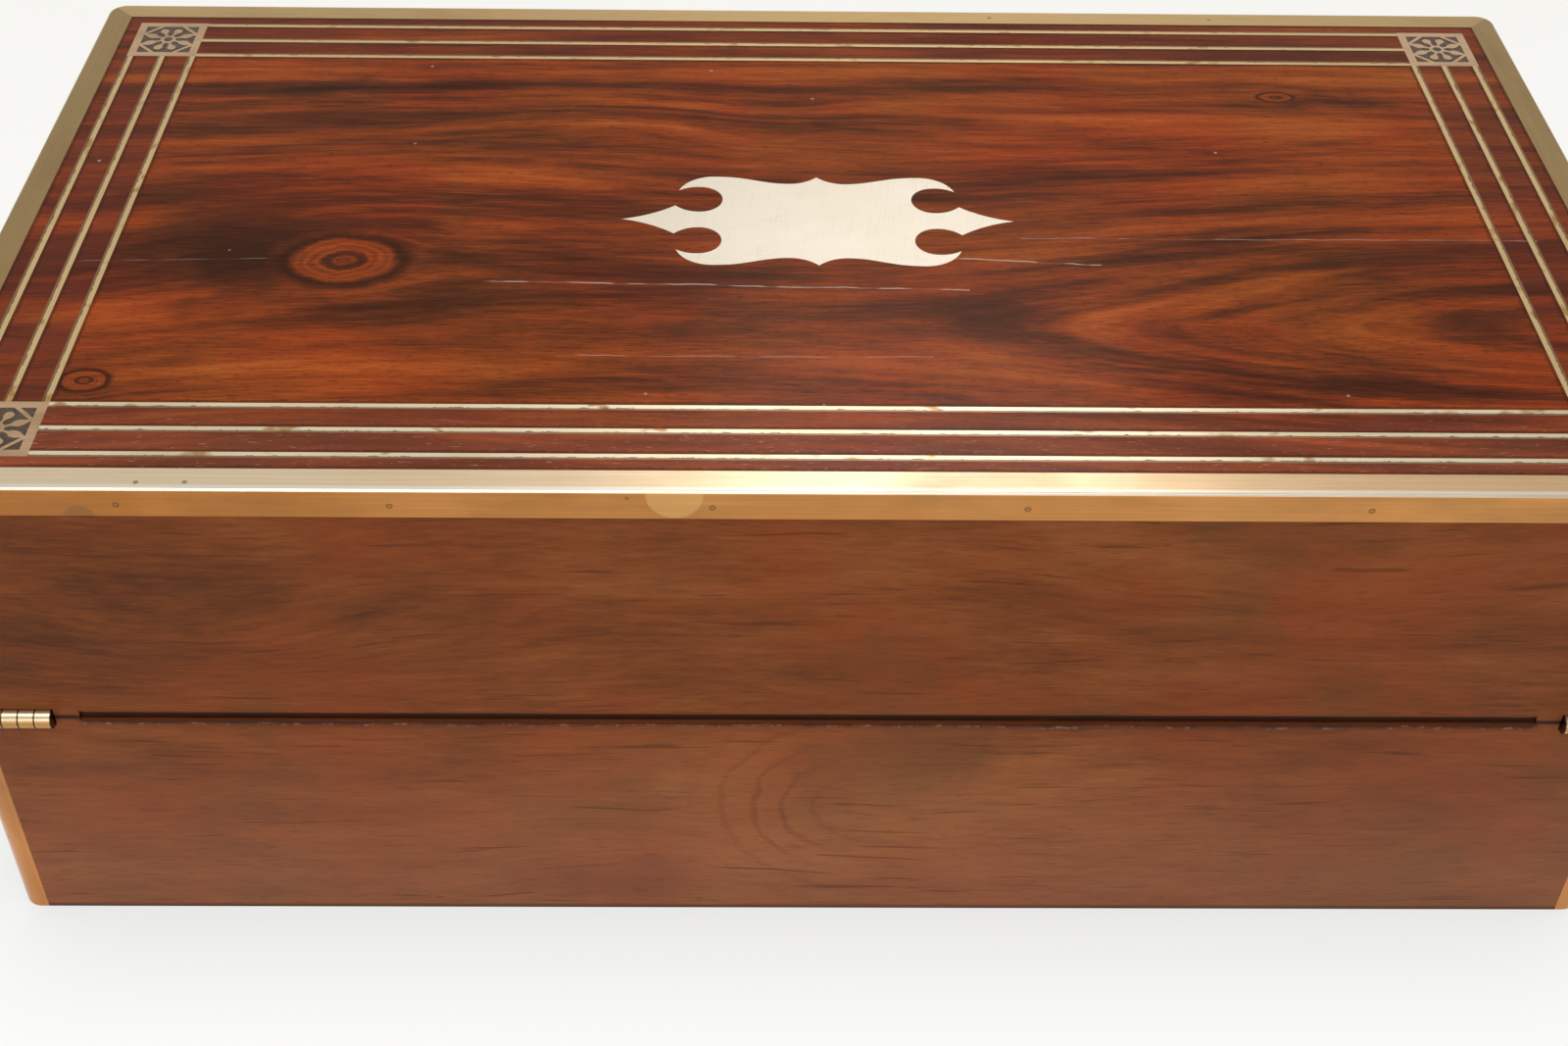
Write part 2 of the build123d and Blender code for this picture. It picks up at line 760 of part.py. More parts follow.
def slab(half, near, far, depth, thickness, length=inner_length):
    """Board parallel to the seam, between two distances from the hinge pin."""
    with BuildPart() as board:
        with BuildSketch(seam_plane(half, depth)):
            with Locations((0, towards_front(half) * (near + far) / 2)):
                Rectangle(length, far - near)
        extrude(amount=-thickness)
    return board.part


def rail(half, depth, thickness):
    """Strip on the back wall that the flap's leather is hinged to."""
    with BuildPart() as strip:
        add(slab(half, 0, rail_edge, depth, thickness))
        split(bisect_by=Plane.XZ.offset(-inner_half_depth), keep=Keep.TOP)
    return strip.part


def ledge(half, x, width, front):
    """Strip that a flap rests on, from a level y at its front to the back wall."""
    with BuildPart() as strip:
        with BuildSketch(seam_plane(half, ledge_depth)):
            with Locations((x, 0)):
                Rectangle(width, 3 * box_depth)
        extrude(amount=-ledge_thickness)
        split(bisect_by=Plane.XZ.offset(-inner_half_depth), keep=Keep.TOP)
        split(bisect_by=Plane.XZ.offset(-front), keep=Keep.BOTTOM)
    return strip.part


for half in halves:
    far = flap_far[half]
    with BuildPart() as flap:
        add(slab(half, flap_near, far, flap_recess + leather_thickness, flap_thickness, flap_length_x))
        normal = Axis((0, 0, 0), tuple(seam_plane(half).z_dir))
        fillet(flap.edges().filter_by(Axis.X).group_by(normal)[0].sort_by(Axis.Y)[0], flap_edge_round)
    save(flap.part, f"{half}_flap")
    leather = slab(half, flap_near, far, flap_recess, leather_thickness, flap_length_x)
    save(leather, f"{half}_flap_leather")
    save(rail(half, flap_recess + leather_thickness, flap_thickness), f"{half}_hinge_rail")
    save(rail(half, flap_recess, leather_thickness), f"{half}_rail_leather")

    ledge_x = inner_half_length - ledge_width / 2
    strips = [ledge(half, sign * ledge_x, ledge_width, ledge_front[half]) for sign in (-1, 1)]
    if half == "lid":
        with BuildPart() as front_ledge:
            add(ledge(half, 0, inner_length - 2 * ledge_width, -inner_half_depth))
            split(bisect_by=Plane.XZ.offset(inner_half_depth - ledge_width), keep=Keep.TOP)
        strips.append(front_ledge.part)
    save(Compound(children=strips), f"{half}_flap_ledges")

# ---------------------------------------------------------------- gallery for pens and ink
with BuildPart() as gallery_partition:
    with BuildSketch(Plane.XY.offset(bottom_thickness)):
        with Locations((0, gallery_back + partition_thickness / 2)):
            Rectangle(inner_length, partition_thickness)
    extrude(amount=box_height)
    split(bisect_by=seam_plane("base", ledge_depth), keep=Keep.BOTTOM)
save(gallery_partition.part, "gallery_partition")

gallery_middle = (-inner_half_depth + gallery_back) / 2
with BuildPart() as gallery_floor:
    with BuildSketch(Plane.XY.offset(gallery_floor_height)):
        with Locations((0, gallery_middle)):
            Rectangle(inner_length, gallery_depth)
    extrude(amount=gallery_floor_thickness)
save(gallery_floor.part, "gallery_floor")

for hand, sign in (("left", -1), ("right", 1)):
    with BuildPart() as divider:
        with BuildSketch(Plane.XY.offset(gallery_floor_top)):
            with Locations((sign * (divider_outer + divider_inner) / 2, gallery_middle)):
                Rectangle(divider_thickness, gallery_depth)
        extrude(amount=box_height)
        split(bisect_by=seam_plane("base", divider_recess), keep=Keep.BOTTOM)
    save(divider.part, f"gallery_divider_{hand}")

with BuildPart() as pen_tray_rests:
    with BuildSketch(Plane.XY.offset(tray_bottom_height - rest_height)):
        for sign in (-1, 1):
            with Locations((sign * (divider_inner - rest_width / 2), gallery_middle)):
                Rectangle(rest_width, gallery_depth)
    extrude(amount=rest_height)
save(pen_tray_rests.part, "pen_tray_rests")

tray_length = 2 * (divider_inner - tray_play)
tray_width = gallery_depth - 2 * tray_play
tray_top = tray_bottom_height + tray_height
scoop_half_width = tray_width / 2 - tray_margin
scoop_radius = (scoop_half_width**2 + scoop_depth**2) / (2 * scoop_depth)
scoop_axis_z = tray_top - scoop_depth + scoop_radius
with BuildPart() as pen_tray:
    with BuildSketch(Plane.XY.offset(tray_bottom_height)):
        with Locations((0, gallery_middle)):
            Rectangle(tray_length, tray_width)
    extrude(amount=tray_height)
    with BuildSketch(Plane.XZ.offset(-gallery_middle)) as scoop:
        with Locations((0, scoop_axis_z)):
            Rectangle(tray_length - 2 * tray_margin, scoop_radius, align=(Align.CENTER, Align.MAX))
        fillet(scoop.vertices().group_by(Axis.Y)[0], scoop_end_radius)
    revolve(axis=Axis((0, gallery_middle, scoop_axis_z), (1, 0, 0)), mode=Mode.SUBTRACT)
save(pen_tray.part, "pen_tray")

inkwell_side = gallery_depth - 2 * inkwell_play
inkwell_shoulder = gallery_floor_top + inkwell_body_height
inkwell_places = {
    hand: (sign * (divider_outer + inner_half_length) / 2, gallery_middle)
    for hand, sign in (("left", -1), ("right", 1))
}
for hand, place in inkwell_places.items():
    with BuildPart() as inkwell:
        with BuildSketch(Plane.XY.offset(gallery_floor_top)):
            with Locations(place):
                RectangleRounded(inkwell_side, inkwell_side, inkwell_corner_radius)
        extrude(amount=inkwell_body_height)
        fillet(inkwell.faces().sort_by(Axis.Z)[-1].edges(), inkwell_shoulder_round)
        with BuildSketch(Plane.XY.offset(inkwell_shoulder)):
            with Locations(place):
                Circle(inkwell_neck_radius)
        extrude(amount=inkwell_neck_height)
        with BuildSketch(Plane.XY.offset(gallery_floor_top + inkwell_wall)):
            with Locations(place):
                Circle(inkwell_side / 2 - inkwell_wall)
        extrude(amount=inkwell_body_height - 2 * inkwell_wall, mode=Mode.SUBTRACT)
        with BuildSketch(Plane.XY.offset(inkwell_shoulder + inkwell_neck_height)):
            with Locations(place):
                Circle(inkwell_mouth_radius)
        extrude(amount=-inkwell_neck_height - 2 * inkwell_wall, mode=Mode.SUBTRACT)
    save(inkwell.part, f"inkwell_{hand}")

    with BuildPart() as cap:
        with BuildSketch(Plane.XY.offset(inkwell_shoulder)):
            with Locations(place):
                Circle(cap_radius)
        extrude(amount=cap_height)
        fillet(cap.edges().sort_by(Axis.Z)[-1], cap_round)
        with BuildSketch(Plane.XY.offset(inkwell_shoulder)):
            with Locations(place):
                Circle(inkwell_neck_radius + cap_play)
        extrude(amount=cap_height - cap_disc_thickness, mode=Mode.SUBTRACT)
    save(cap.part, f"inkwell_cap_{hand}")
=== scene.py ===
"""Looks of a brass-bound writing slope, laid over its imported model.

Metres, +Z up, in the frame of the model. The lock is on the -Y side, the hinges on the +Y side.
"""

import json
from math import atan2, cos, pi, radians, sin

import bmesh
import bpy
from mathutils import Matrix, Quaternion, Vector


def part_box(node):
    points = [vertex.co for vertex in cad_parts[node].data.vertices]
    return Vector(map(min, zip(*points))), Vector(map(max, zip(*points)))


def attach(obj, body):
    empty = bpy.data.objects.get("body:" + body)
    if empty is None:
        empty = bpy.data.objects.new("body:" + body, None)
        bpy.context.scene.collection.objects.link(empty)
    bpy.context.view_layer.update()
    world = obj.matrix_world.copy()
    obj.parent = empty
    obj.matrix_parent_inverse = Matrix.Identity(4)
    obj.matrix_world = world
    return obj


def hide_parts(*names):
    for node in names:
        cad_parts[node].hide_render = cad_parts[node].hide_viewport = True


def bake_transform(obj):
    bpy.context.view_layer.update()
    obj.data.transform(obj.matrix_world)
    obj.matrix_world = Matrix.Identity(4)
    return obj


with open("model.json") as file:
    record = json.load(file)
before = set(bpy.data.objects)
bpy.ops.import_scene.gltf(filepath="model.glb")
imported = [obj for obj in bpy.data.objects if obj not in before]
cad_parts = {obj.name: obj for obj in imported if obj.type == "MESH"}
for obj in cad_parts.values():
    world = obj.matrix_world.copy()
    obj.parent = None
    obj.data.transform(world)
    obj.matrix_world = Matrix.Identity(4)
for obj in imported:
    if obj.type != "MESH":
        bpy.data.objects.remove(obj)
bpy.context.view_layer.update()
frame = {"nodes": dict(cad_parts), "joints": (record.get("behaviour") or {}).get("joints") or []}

bl_info = {
    "name": "Brass-bound writing slope",
    "version": (1, 0, 0),
    "blender": (4, 5, 0),
    "location": "View3D > Sidebar > Slope",
    "description": "Woods, brass, leather, glass and studio for a writing slope that opens flat",
    "category": "Object",
}

MM = 0.001
AXIS = {"x": 0, "y": 1, "z": 2}

# ---------------------------------------------------------------- sizes read from the model
lid_low, lid_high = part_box("lid_top_board")
HALF_LENGTH = lid_high.x
HALF_DEPTH = lid_high.y
LID_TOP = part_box("name_plate")[1].z
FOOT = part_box("base_bottom_board")[0].z
INNER_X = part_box("base_hinge_rail")[1].x
INNER_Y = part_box("base_hinge_rail")[1].y
JOINTS = {joint["name"]: joint for joint in frame["joints"]}
HINGE = Vector(JOINTS["lid_hinge"]["pos_m"])
SEAM_GAP = 0.3 * MM
RIM_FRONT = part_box("base_front_wall")[1].z
SLOPE = atan2(RIM_FRONT + SEAM_GAP / 2 - HINGE.z, HALF_DEPTH + HINGE.y)
STRING_OFFSETS = (14.9 * MM, 26.0 * MM, 36.7 * MM)  # centre lines, from the edge of the lid
STRING_WIDTH = 2.4 * MM
STRAP_WIDTH = 8.3 * MM
FLANGE_WIDTH = 9.0 * MM
GROOVE_REACH = HALF_LENGTH - 37.0 * MM
KNUCKLES = 5


# ---------------------------------------------------------------- helpers
def linear(code, alpha=1.0):
    """An sRGB hex colour as linear red, green, blue and alpha."""
    channels = [int(code[i : i + 2], 16) / 255 for i in (1, 3, 5)]
    return (*[c / 12.92 if c <= 0.04045 else ((c + 0.055) / 1.055) ** 2.4 for c in channels], alpha)


def add_node(tree, kind, *inputs, sockets=None, stops=None, **settings):
    """Adds a shader node: its inputs in order, others by name or number, its ramp's stops and its settings."""
    made = tree.nodes.new("ShaderNode" + kind)
    for setting, value in settings.items():
        setattr(made, setting, value)
    for key, value in [*enumerate(inputs), *(sockets or {}).items()]:
        if isinstance(value, bpy.types.NodeSocket):
            tree.links.new(value, made.inputs[key])
        elif value is not None:
            made.inputs[key].default_value = value
    if stops:
        ramp = made.color_ramp
        ramp.elements[0].position, ramp.elements[0].color = stops[0]
        ramp.elements[1].position, ramp.elements[1].color = stops[-1]
        for position, colour in stops[1:-1]:
            ramp.elements.new(position).color = colour
    return made


def new_material(name, **sockets):
    """Material with one Principled shader, whose even values are set on its own sockets."""
    made = bpy.data.materials.new(name)
    made.use_nodes = True
    shader = made.node_tree.nodes["Principled BSDF"]
    for socket, value in sockets.items():
        shader.inputs[socket.replace("_", " ")].default_value = value
    return made, made.node_tree, shader


def by_axis(along, across, values):
    """Vector of a value along the grain, one across it and one through the piece."""
    vector = [values[2]] * 3
    vector[AXIS[along]] = values[0]
    vector[AXIS[across]] = values[1]
    return tuple(vector)


def from_spot(tree, place, spot, along, across):
    """Offset from a spot in shares of its two radii, and the square of its length."""
    a, c, radius_a, radius_c = spot
    shrink = by_axis(along, across, (1 / (radius_a * MM), 1 / (radius_c * MM), 0.0))
    shift = by_axis(along, across, (-a / radius_a, -c / radius_c, 0.0))
    offset = add_node(tree, "VectorMath", place, shrink, shift, operation="MULTIPLY_ADD").outputs[0]
    return offset, add_node(tree, "VectorMath", offset, offset, operation="DOT_PRODUCT").outputs[1]


def soft_spots(tree, place, start, spots, along, across, unit=1.0):
    """start, raised by a soft bump for each (along, across, radius along, radius across, amount)."""
    total = start
    for *spot, amount in spots:
        square = from_spot(tree, place, spot, along, across)[1]
        minus = add_node(tree, "Math", square, -1.0, operation="MULTIPLY").outputs[0]
        bump = add_node(tree, "Math", minus, operation="EXPONENT").outputs[0]
        total = add_node(tree, "Math", bump, amount * unit, total, operation="MULTIPLY_ADD").outputs[0]
    return total


def part_around(tree, place, level, knots, along, across):
    """Grain level that parts around round knots, and the distance from each in shares of its radius."""
    reaches = []
    for knot in knots:
        offset, square = from_spot(tree, place, knot, along, across)
        beyond = add_node(tree, "Math", square, 1.0, operation="MAXIMUM").outputs[0]
        sideways = add_node(tree, "SeparateXYZ", offset).outputs[AXIS[across]]
        share = add_node(tree, "Math", sideways, beyond, operation="DIVIDE").outputs[0]
        level = add_node(tree, "Math", share, -knot[3] * MM, level, operation="MULTIPLY_ADD").outputs[0]
        reaches.append(add_node(tree, "Math", square, 0.5, operation="POWER").outputs[0])
    return level, reaches


def fold_arches(tree, x, level, arch):
    """Grain level folded about a line, so that it closes in nested arches, and the place beside that line."""
    middle, blunt, width, start, end, rise = (value * MM for value in arch)
    off = add_node(tree, "Math", level, middle, operation="SUBTRACT").outputs[0]
    square = add_node(tree, "Math", off, off, operation="MULTIPLY").outputs[0]
    rounded = add_node(tree, "Math", square, blunt**2, operation="ADD").outputs[0]
    folded = add_node(tree, "Math", rounded, 0.5, operation="POWER").outputs[0]
    minus = add_node(tree, "Math", square, -1 / width**2, operation="MULTIPLY").outputs[0]
    near = add_node(tree, "Math", minus, operation="EXPONENT").outputs[0]
    hump = add_node(tree, "MapRange", x, start, end, 0.0, -rise, interpolation_type="SMOOTHSTEP").outputs[0]
    return add_node(tree, "Math", hump, near, folded, operation="MULTIPLY_ADD").outputs[0], off


def wander(tree, place, along, across, level, reach, long_scale, short_scale):
    """Level moved by noise, by up to a number of millimetres to each side."""
    stretched = by_axis(along, across, (long_scale, short_scale, short_scale * 0.7))
    vector = add_node(tree, "VectorMath", place, stretched, operation="MULTIPLY").outputs[0]
    drift = add_node(tree, "TexNoise", vector, None, 1.0, 2.0, 0.5).outputs[0]
    drift = add_node(tree, "Math", drift, 0.5, operation="SUBTRACT").outputs[0]
    return add_node(tree, "Math", drift, 2 * reach * MM, level, operation="MULTIPLY_ADD").outputs[0]


def streaks(tree, lines, along, across, length, width, detail=3.0, roughness=0.55, low=0.35, high=0.65):
    """Noise drawn out along the fibres, from 0 to 1; length and width in millimetres."""
    per_metre = by_axis(along, across, (1 / (length * MM), 1 / (width * MM), 1 / (width * MM)))
    vector = add_node(tree, "VectorMath", lines, per_metre, operation="MULTIPLY").outputs[0]
    noise = add_node(tree, "TexNoise", vector, None, 1.0, detail, roughness).outputs[0]
    return add_node(tree, "MapRange", noise, low, high, 0.0, 1.0).outputs[0]


def blend_colour(tree, share, below, above, blend_type="MIX"):
    """Colour between two others, by a share from 0 to 1."""
    sockets = {0: share, 6: below, 7: above}
    return add_node(tree, "Mix", sockets=sockets, data_type="RGBA", blend_type=blend_type).outputs[2]


def dress(material, *names):
    """Gives CAD nodes their material."""
    for name in names:
        if name not in frame["nodes"]:
            raise RuntimeError(f"the model has no node named {name}")
        node = frame["nodes"][name]
        if not node.material_slots:
            node.data.materials.append(material)
        for slot in node.material_slots:
            slot.material = material


def new_piece(name, mesh_builder, material, body):
    """Makes a mesh object from a filled bmesh, and lets it ride on a body."""
    mesh = bpy.data.meshes.new(name)
    bmesh.ops.recalc_face_normals(mesh_builder, faces=mesh_builder.faces)
    mesh_builder.to_mesh(mesh)
    mesh_builder.free()
    piece = bpy.data.objects.new(name, mesh)
    bpy.context.scene.collection.objects.link(piece)
    mesh.materials.append(material)
    if body:
        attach(piece, body)
    return piece


def smooth(piece, angle=35):
    """Shades the faces of a piece smooth, but for edges sharper than an angle in degrees."""
    piece.data.shade_smooth()
    piece.data.set_sharp_from_angle(angle=radians(angle))


def seam_point(half, x, along, depth):
    """Point at a distance from the hinge pin along the seam, and at a depth below a half's rim."""
    out = 1 if half == "base" else -1
    forward = Vector((0, -cos(SLOPE), sin(SLOPE)))
    normal = Vector((0, sin(SLOPE), cos(SLOPE))) * out
    return Vector((x, HINGE.y, HINGE.z)) + forward * along - normal * (SEAM_GAP / 2 + depth)


def seam_extent(half, name):
    """Reach of a CAD node along the seam from the hinge pin, and in depth below the rim."""
    out = 1 if half == "base" else -1
    forward = Vector((0, -cos(SLOPE), sin(SLOPE)))
    normal = Vector((0, sin(SLOPE), cos(SLOPE))) * out
    offsets = [vertex.co - Vector((vertex.co.x, HINGE.y, HINGE.z)) for vertex in frame["nodes"][name].data.vertices]
    alongs = [offset.dot(forward) for offset in offsets]
    depths = [-offset.dot(normal) - SEAM_GAP / 2 for offset in offsets]
    return min(alongs), max(alongs), min(depths), max(depths)


# ---------------------------------------------------------------- what a user may change
class SlopeColours(bpy.types.PropertyGroup):
    """Colours of the slope's woods, metals, leather and glass."""


class SlopeSizes(bpy.types.PropertyGroup):
    """Sizes of what is fitted over the model."""

    tool_inset: bpy.props.FloatProperty(
        name="Tooled border", description="From the edge of the leather to its gilt border",
        default=7 * MM, min=3 * MM, max=20 * MM, unit="LENGTH",
    )
    tool_gap: bpy.props.FloatProperty(
        name="Between fillets", description="Between the two gilt lines of the border",
        default=3.2 * MM, min=1 * MM, max=8 * MM, unit="LENGTH",
    )
    tool_width: bpy.props.FloatProperty(
        name="Fillet width", description="Width of a gilt line",
        default=0.6 * MM, min=0.3 * MM, max=2 * MM, unit="LENGTH",
    )
    tab_width: bpy.props.FloatProperty(
        name="Tab width", description="Width of the leather tab that lifts a flap",
        default=13 * MM, min=6 * MM, max=30 * MM, unit="LENGTH",
    )
    tab_length: bpy.props.FloatProperty(
        name="Tab length", description="Length of the tab on the flap",
        default=15 * MM, min=8 * MM, max=30 * MM, unit="LENGTH",
    )
    ink_depth: bpy.props.FloatProperty(
        name="Ink depth", description="Depth of the ink left in each bottle",
        default=12 * MM, min=2 * MM, max=25 * MM, unit="LENGTH",
    )


class SlopeStudio(bpy.types.PropertyGroup):
    """Camera and light."""

    lens: bpy.props.FloatProperty(
        name="Lens", description="Focal length of the camera, for a 36 mm sensor",
        default=47.55, min=10, max=200, unit="CAMERA",
    )
    camera_pitch: bpy.props.FloatProperty(
        name="Camera pitch", description="How far the camera looks down", default=0.7216, subtype="ANGLE"
    )
    camera_heading: bpy.props.FloatProperty(
        name="Camera heading", description="How far the camera turns from the slope's back", default=0.0171, subtype="ANGLE"
    )
    camera_roll: bpy.props.FloatProperty(
        name="Camera roll", description="How far the camera leans to its left", default=0.0162, subtype="ANGLE"
    )
    overhead_power: bpy.props.FloatProperty(
        name="Overhead lamp", description="Power of the large soft lamp above", default=15.0, unit="POWER"
    )
    far_power: bpy.props.FloatProperty(
        name="Far lamp", description="Power of the lamp that glints on the brass", default=1.5, unit="POWER"
    )
    softbox_power: bpy.props.FloatProperty(
        name="Far softbox", description="Power of the wide lamp that the brass on top reflects", default=3.4, unit="POWER"
    )
    fill_power: bpy.props.FloatProperty(
        name="Fill lamp", description="Power of the soft lamp beside the camera", default=9.0, unit="POWER"
    )
    world_level: bpy.props.FloatProperty(
        name="Room light", description="Level of the even light of the room", default=0.35, min=0, max=1
    )


COLOURS = {
    "lid_dark": ("#3A1A07", "Darkest streaks of the lid's rosewood"),
    "lid_brown": ("#5F2C14", "Brown of the lid's rosewood"),
    "lid_red": ("#924118", "Red-brown of the lid's rosewood"),
    "lid_orange": ("#BE6228", "Bright orange of the lid's rosewood"),
    "border_wood": ("#5C2B22", "Plum brown of the lid's wood between the brass lines"),
    "wall_dark": ("#4A2812", "Dark streaks of the side walls"),
    "wall_brown": ("#7C4420", "Brown of the side walls"),
    "wall_light": ("#9E5F35", "Light streaks of the side walls"),
    "wall_red": ("#944420", "Red patches of the side walls"),
    "wall_olive": ("#5F4526", "Olive shades of the side walls"),
    # paler wood that the base's walls are mixed towards lower down
    "wall_pale_low": ("#BA8770", "Bleached wood of the base's walls"),
    "inner_dark": ("#4A2415", "Dark streaks of the inner mahogany"),
    "inner_light": ("#8C4C2A", "Light streaks of the inner mahogany"),
    # The brass tops differ by side as painted light: the hinge side's top is painted pale as the reflection it shows,
    # with its wear; the lock side's and the ends' tops are duller, shaded copies of the same brass
    "brass_warm": ("#B2702C", "Warm brass on the sides of the box"),
    "brass_top_wear_and_sheen": ("#F1DFC0", "Worn pale brass on the top of the box"),
    "brass_dull": ("#D0B078", "Duller brass on top of the lock side"),
    "brass_olive": ("#A88C58", "Olive brass on top of the two ends"),
    "brass_tarnish": ("#7A5A30", "Brown tarnish in the brass"),
    # the hinge side's lines take a paler colour than the other lines: a painted reflection of the lamp on the same
    # brass
    "string_sheen_pale": ("#F2E5C6", "Pale brass of the inlaid lines"),
    "string_brown": ("#DFC38E", "Browner brass of the lines away from the hinge side"),
    "string_stain": ("#B07E3A", "Stained stretches of the inlaid lines"),
    "fret_brass": ("#DDB994", "Brass of the pierced corner plates"),
    "plate_cream": ("#EAE3D7", "Cream white metal of the name plate"),
    "leather": ("#27402B", "Green writing leather"),
    "gilt": ("#C9A24E", "Gold leaf of the tooled border"),
    "steel": ("#A9A7A2", "Filed steel of the bolt"),
    "ink": ("#10131F", "Blue-black ink"),
    "mastic": ("#3A2A20", "Dark mastic in the piercings of the corner plates"),
}
for key, (code, description) in COLOURS.items():
    SlopeColours.__annotations__[key] = bpy.props.FloatVectorProperty(
        name=key.replace("_", " ").capitalize(), description=description,
        subtype="COLOR", size=4, min=0, max=1, default=linear(code),
    )


def colour(key):
    """A colour of the scene's settings, as linear red, green, blue and alpha."""
    return tuple(getattr(bpy.context.scene.slope_colours, key))


# ---------------------------------------------------------------- woods
# Each place is along the grain, then across it, and then two radii, in millimetres. A swirl's last
# value is how far it lifts the grain, and a cloud's is how much it lightens or darkens the wood.
LID_KNOTS = ((144.5, 27.5, 18.0, 12.5), (209.0, 89.0, 6.5, 5.0), (-163.0, -76.0, 6.0, 3.0))
LID_SWIRLS = (
    (240, 60, 70, 45, -26),
    (62, -54, 40, 12, 8),
    (12, -66, 26, 8, -6),
    (110, -30, 90, 40, 6),
)
LID_ARCH = (59.0, 12.0, 62.0, -6.0, -250.0, 46.0)  # middle, bluntness, width, start, end and rise
LID_CLOUDS = (
    (168, 26, 16, 12, -0.20),
    (8, 38, 60, 8, -0.14),
    (-160, 64, 50, 12, 0.12),
    (-56, 62, 12, 16, -0.05),
    (140, 49, 26, 6, -0.20),
    (146, 8, 26, 5, -0.14),
    (112, 30, 10, 12, -0.12),
    (104, 12, 16, 8, 0.14),
    (196, 60, 40, 12, 0.16),
    (160, 82, 50, 12, 0.20),
    (175, -62, 50, 14, -0.10),
    (66, -50, 26, 8, 0.22),
    (100, -26, 50, 7, 0.14),
    (157, -78, 50, 5, -0.24),
    (10, -64, 26, 6, -0.16),
    (64, -10, 60, 5, -0.12),
    (62, 68, 42, 8, -0.18),
    (100, 46, 26, 5, -0.12),
    (-150, 18, 80, 10, -0.22),
    (-186, 54, 34, 10, -0.12),
    (-152, 91, 60, 6, -0.20),
    (-126, -60, 70, 18, 0.10),
    (-186, -76, 26, 5, -0.20),
    (-20, 82, 35, 10, 0.14),
    (-20, -84, 200, 9, 0.04),
)
# Tone of a knot from its eye outwards, by distance in shares of 1.5 radii
EYE_RINGS = (
    (0.0, 0.40), (0.06, 0.30), (0.10, 0.46), (0.17, 0.06), (0.24, 0.14), (0.30, 0.54), (0.38, 0.36), (0.44, 0.60),
    (0.50, 0.42), (0.56, 0.54), (0.62, 0.30), (0.67, 0.04), (0.72, 0.00), (0.82, 0.14), (1.0, 0.44),
)
# Tone of the arches by grain level, from 12 mm inside to 12 mm outside the blunt nose
ARCH_RINGS = ((0.0, 0.5), (0.28, 0.5), (0.45, 0.76), (0.60, 0.66), (0.70, 0.28), (0.82, 0.30), (0.95, 0.5), (1.0, 0.5))


def greys(values):
    """Stops of a ramp of greys."""
    return [(position, (value, value, value, 1.0)) for position, value in values]


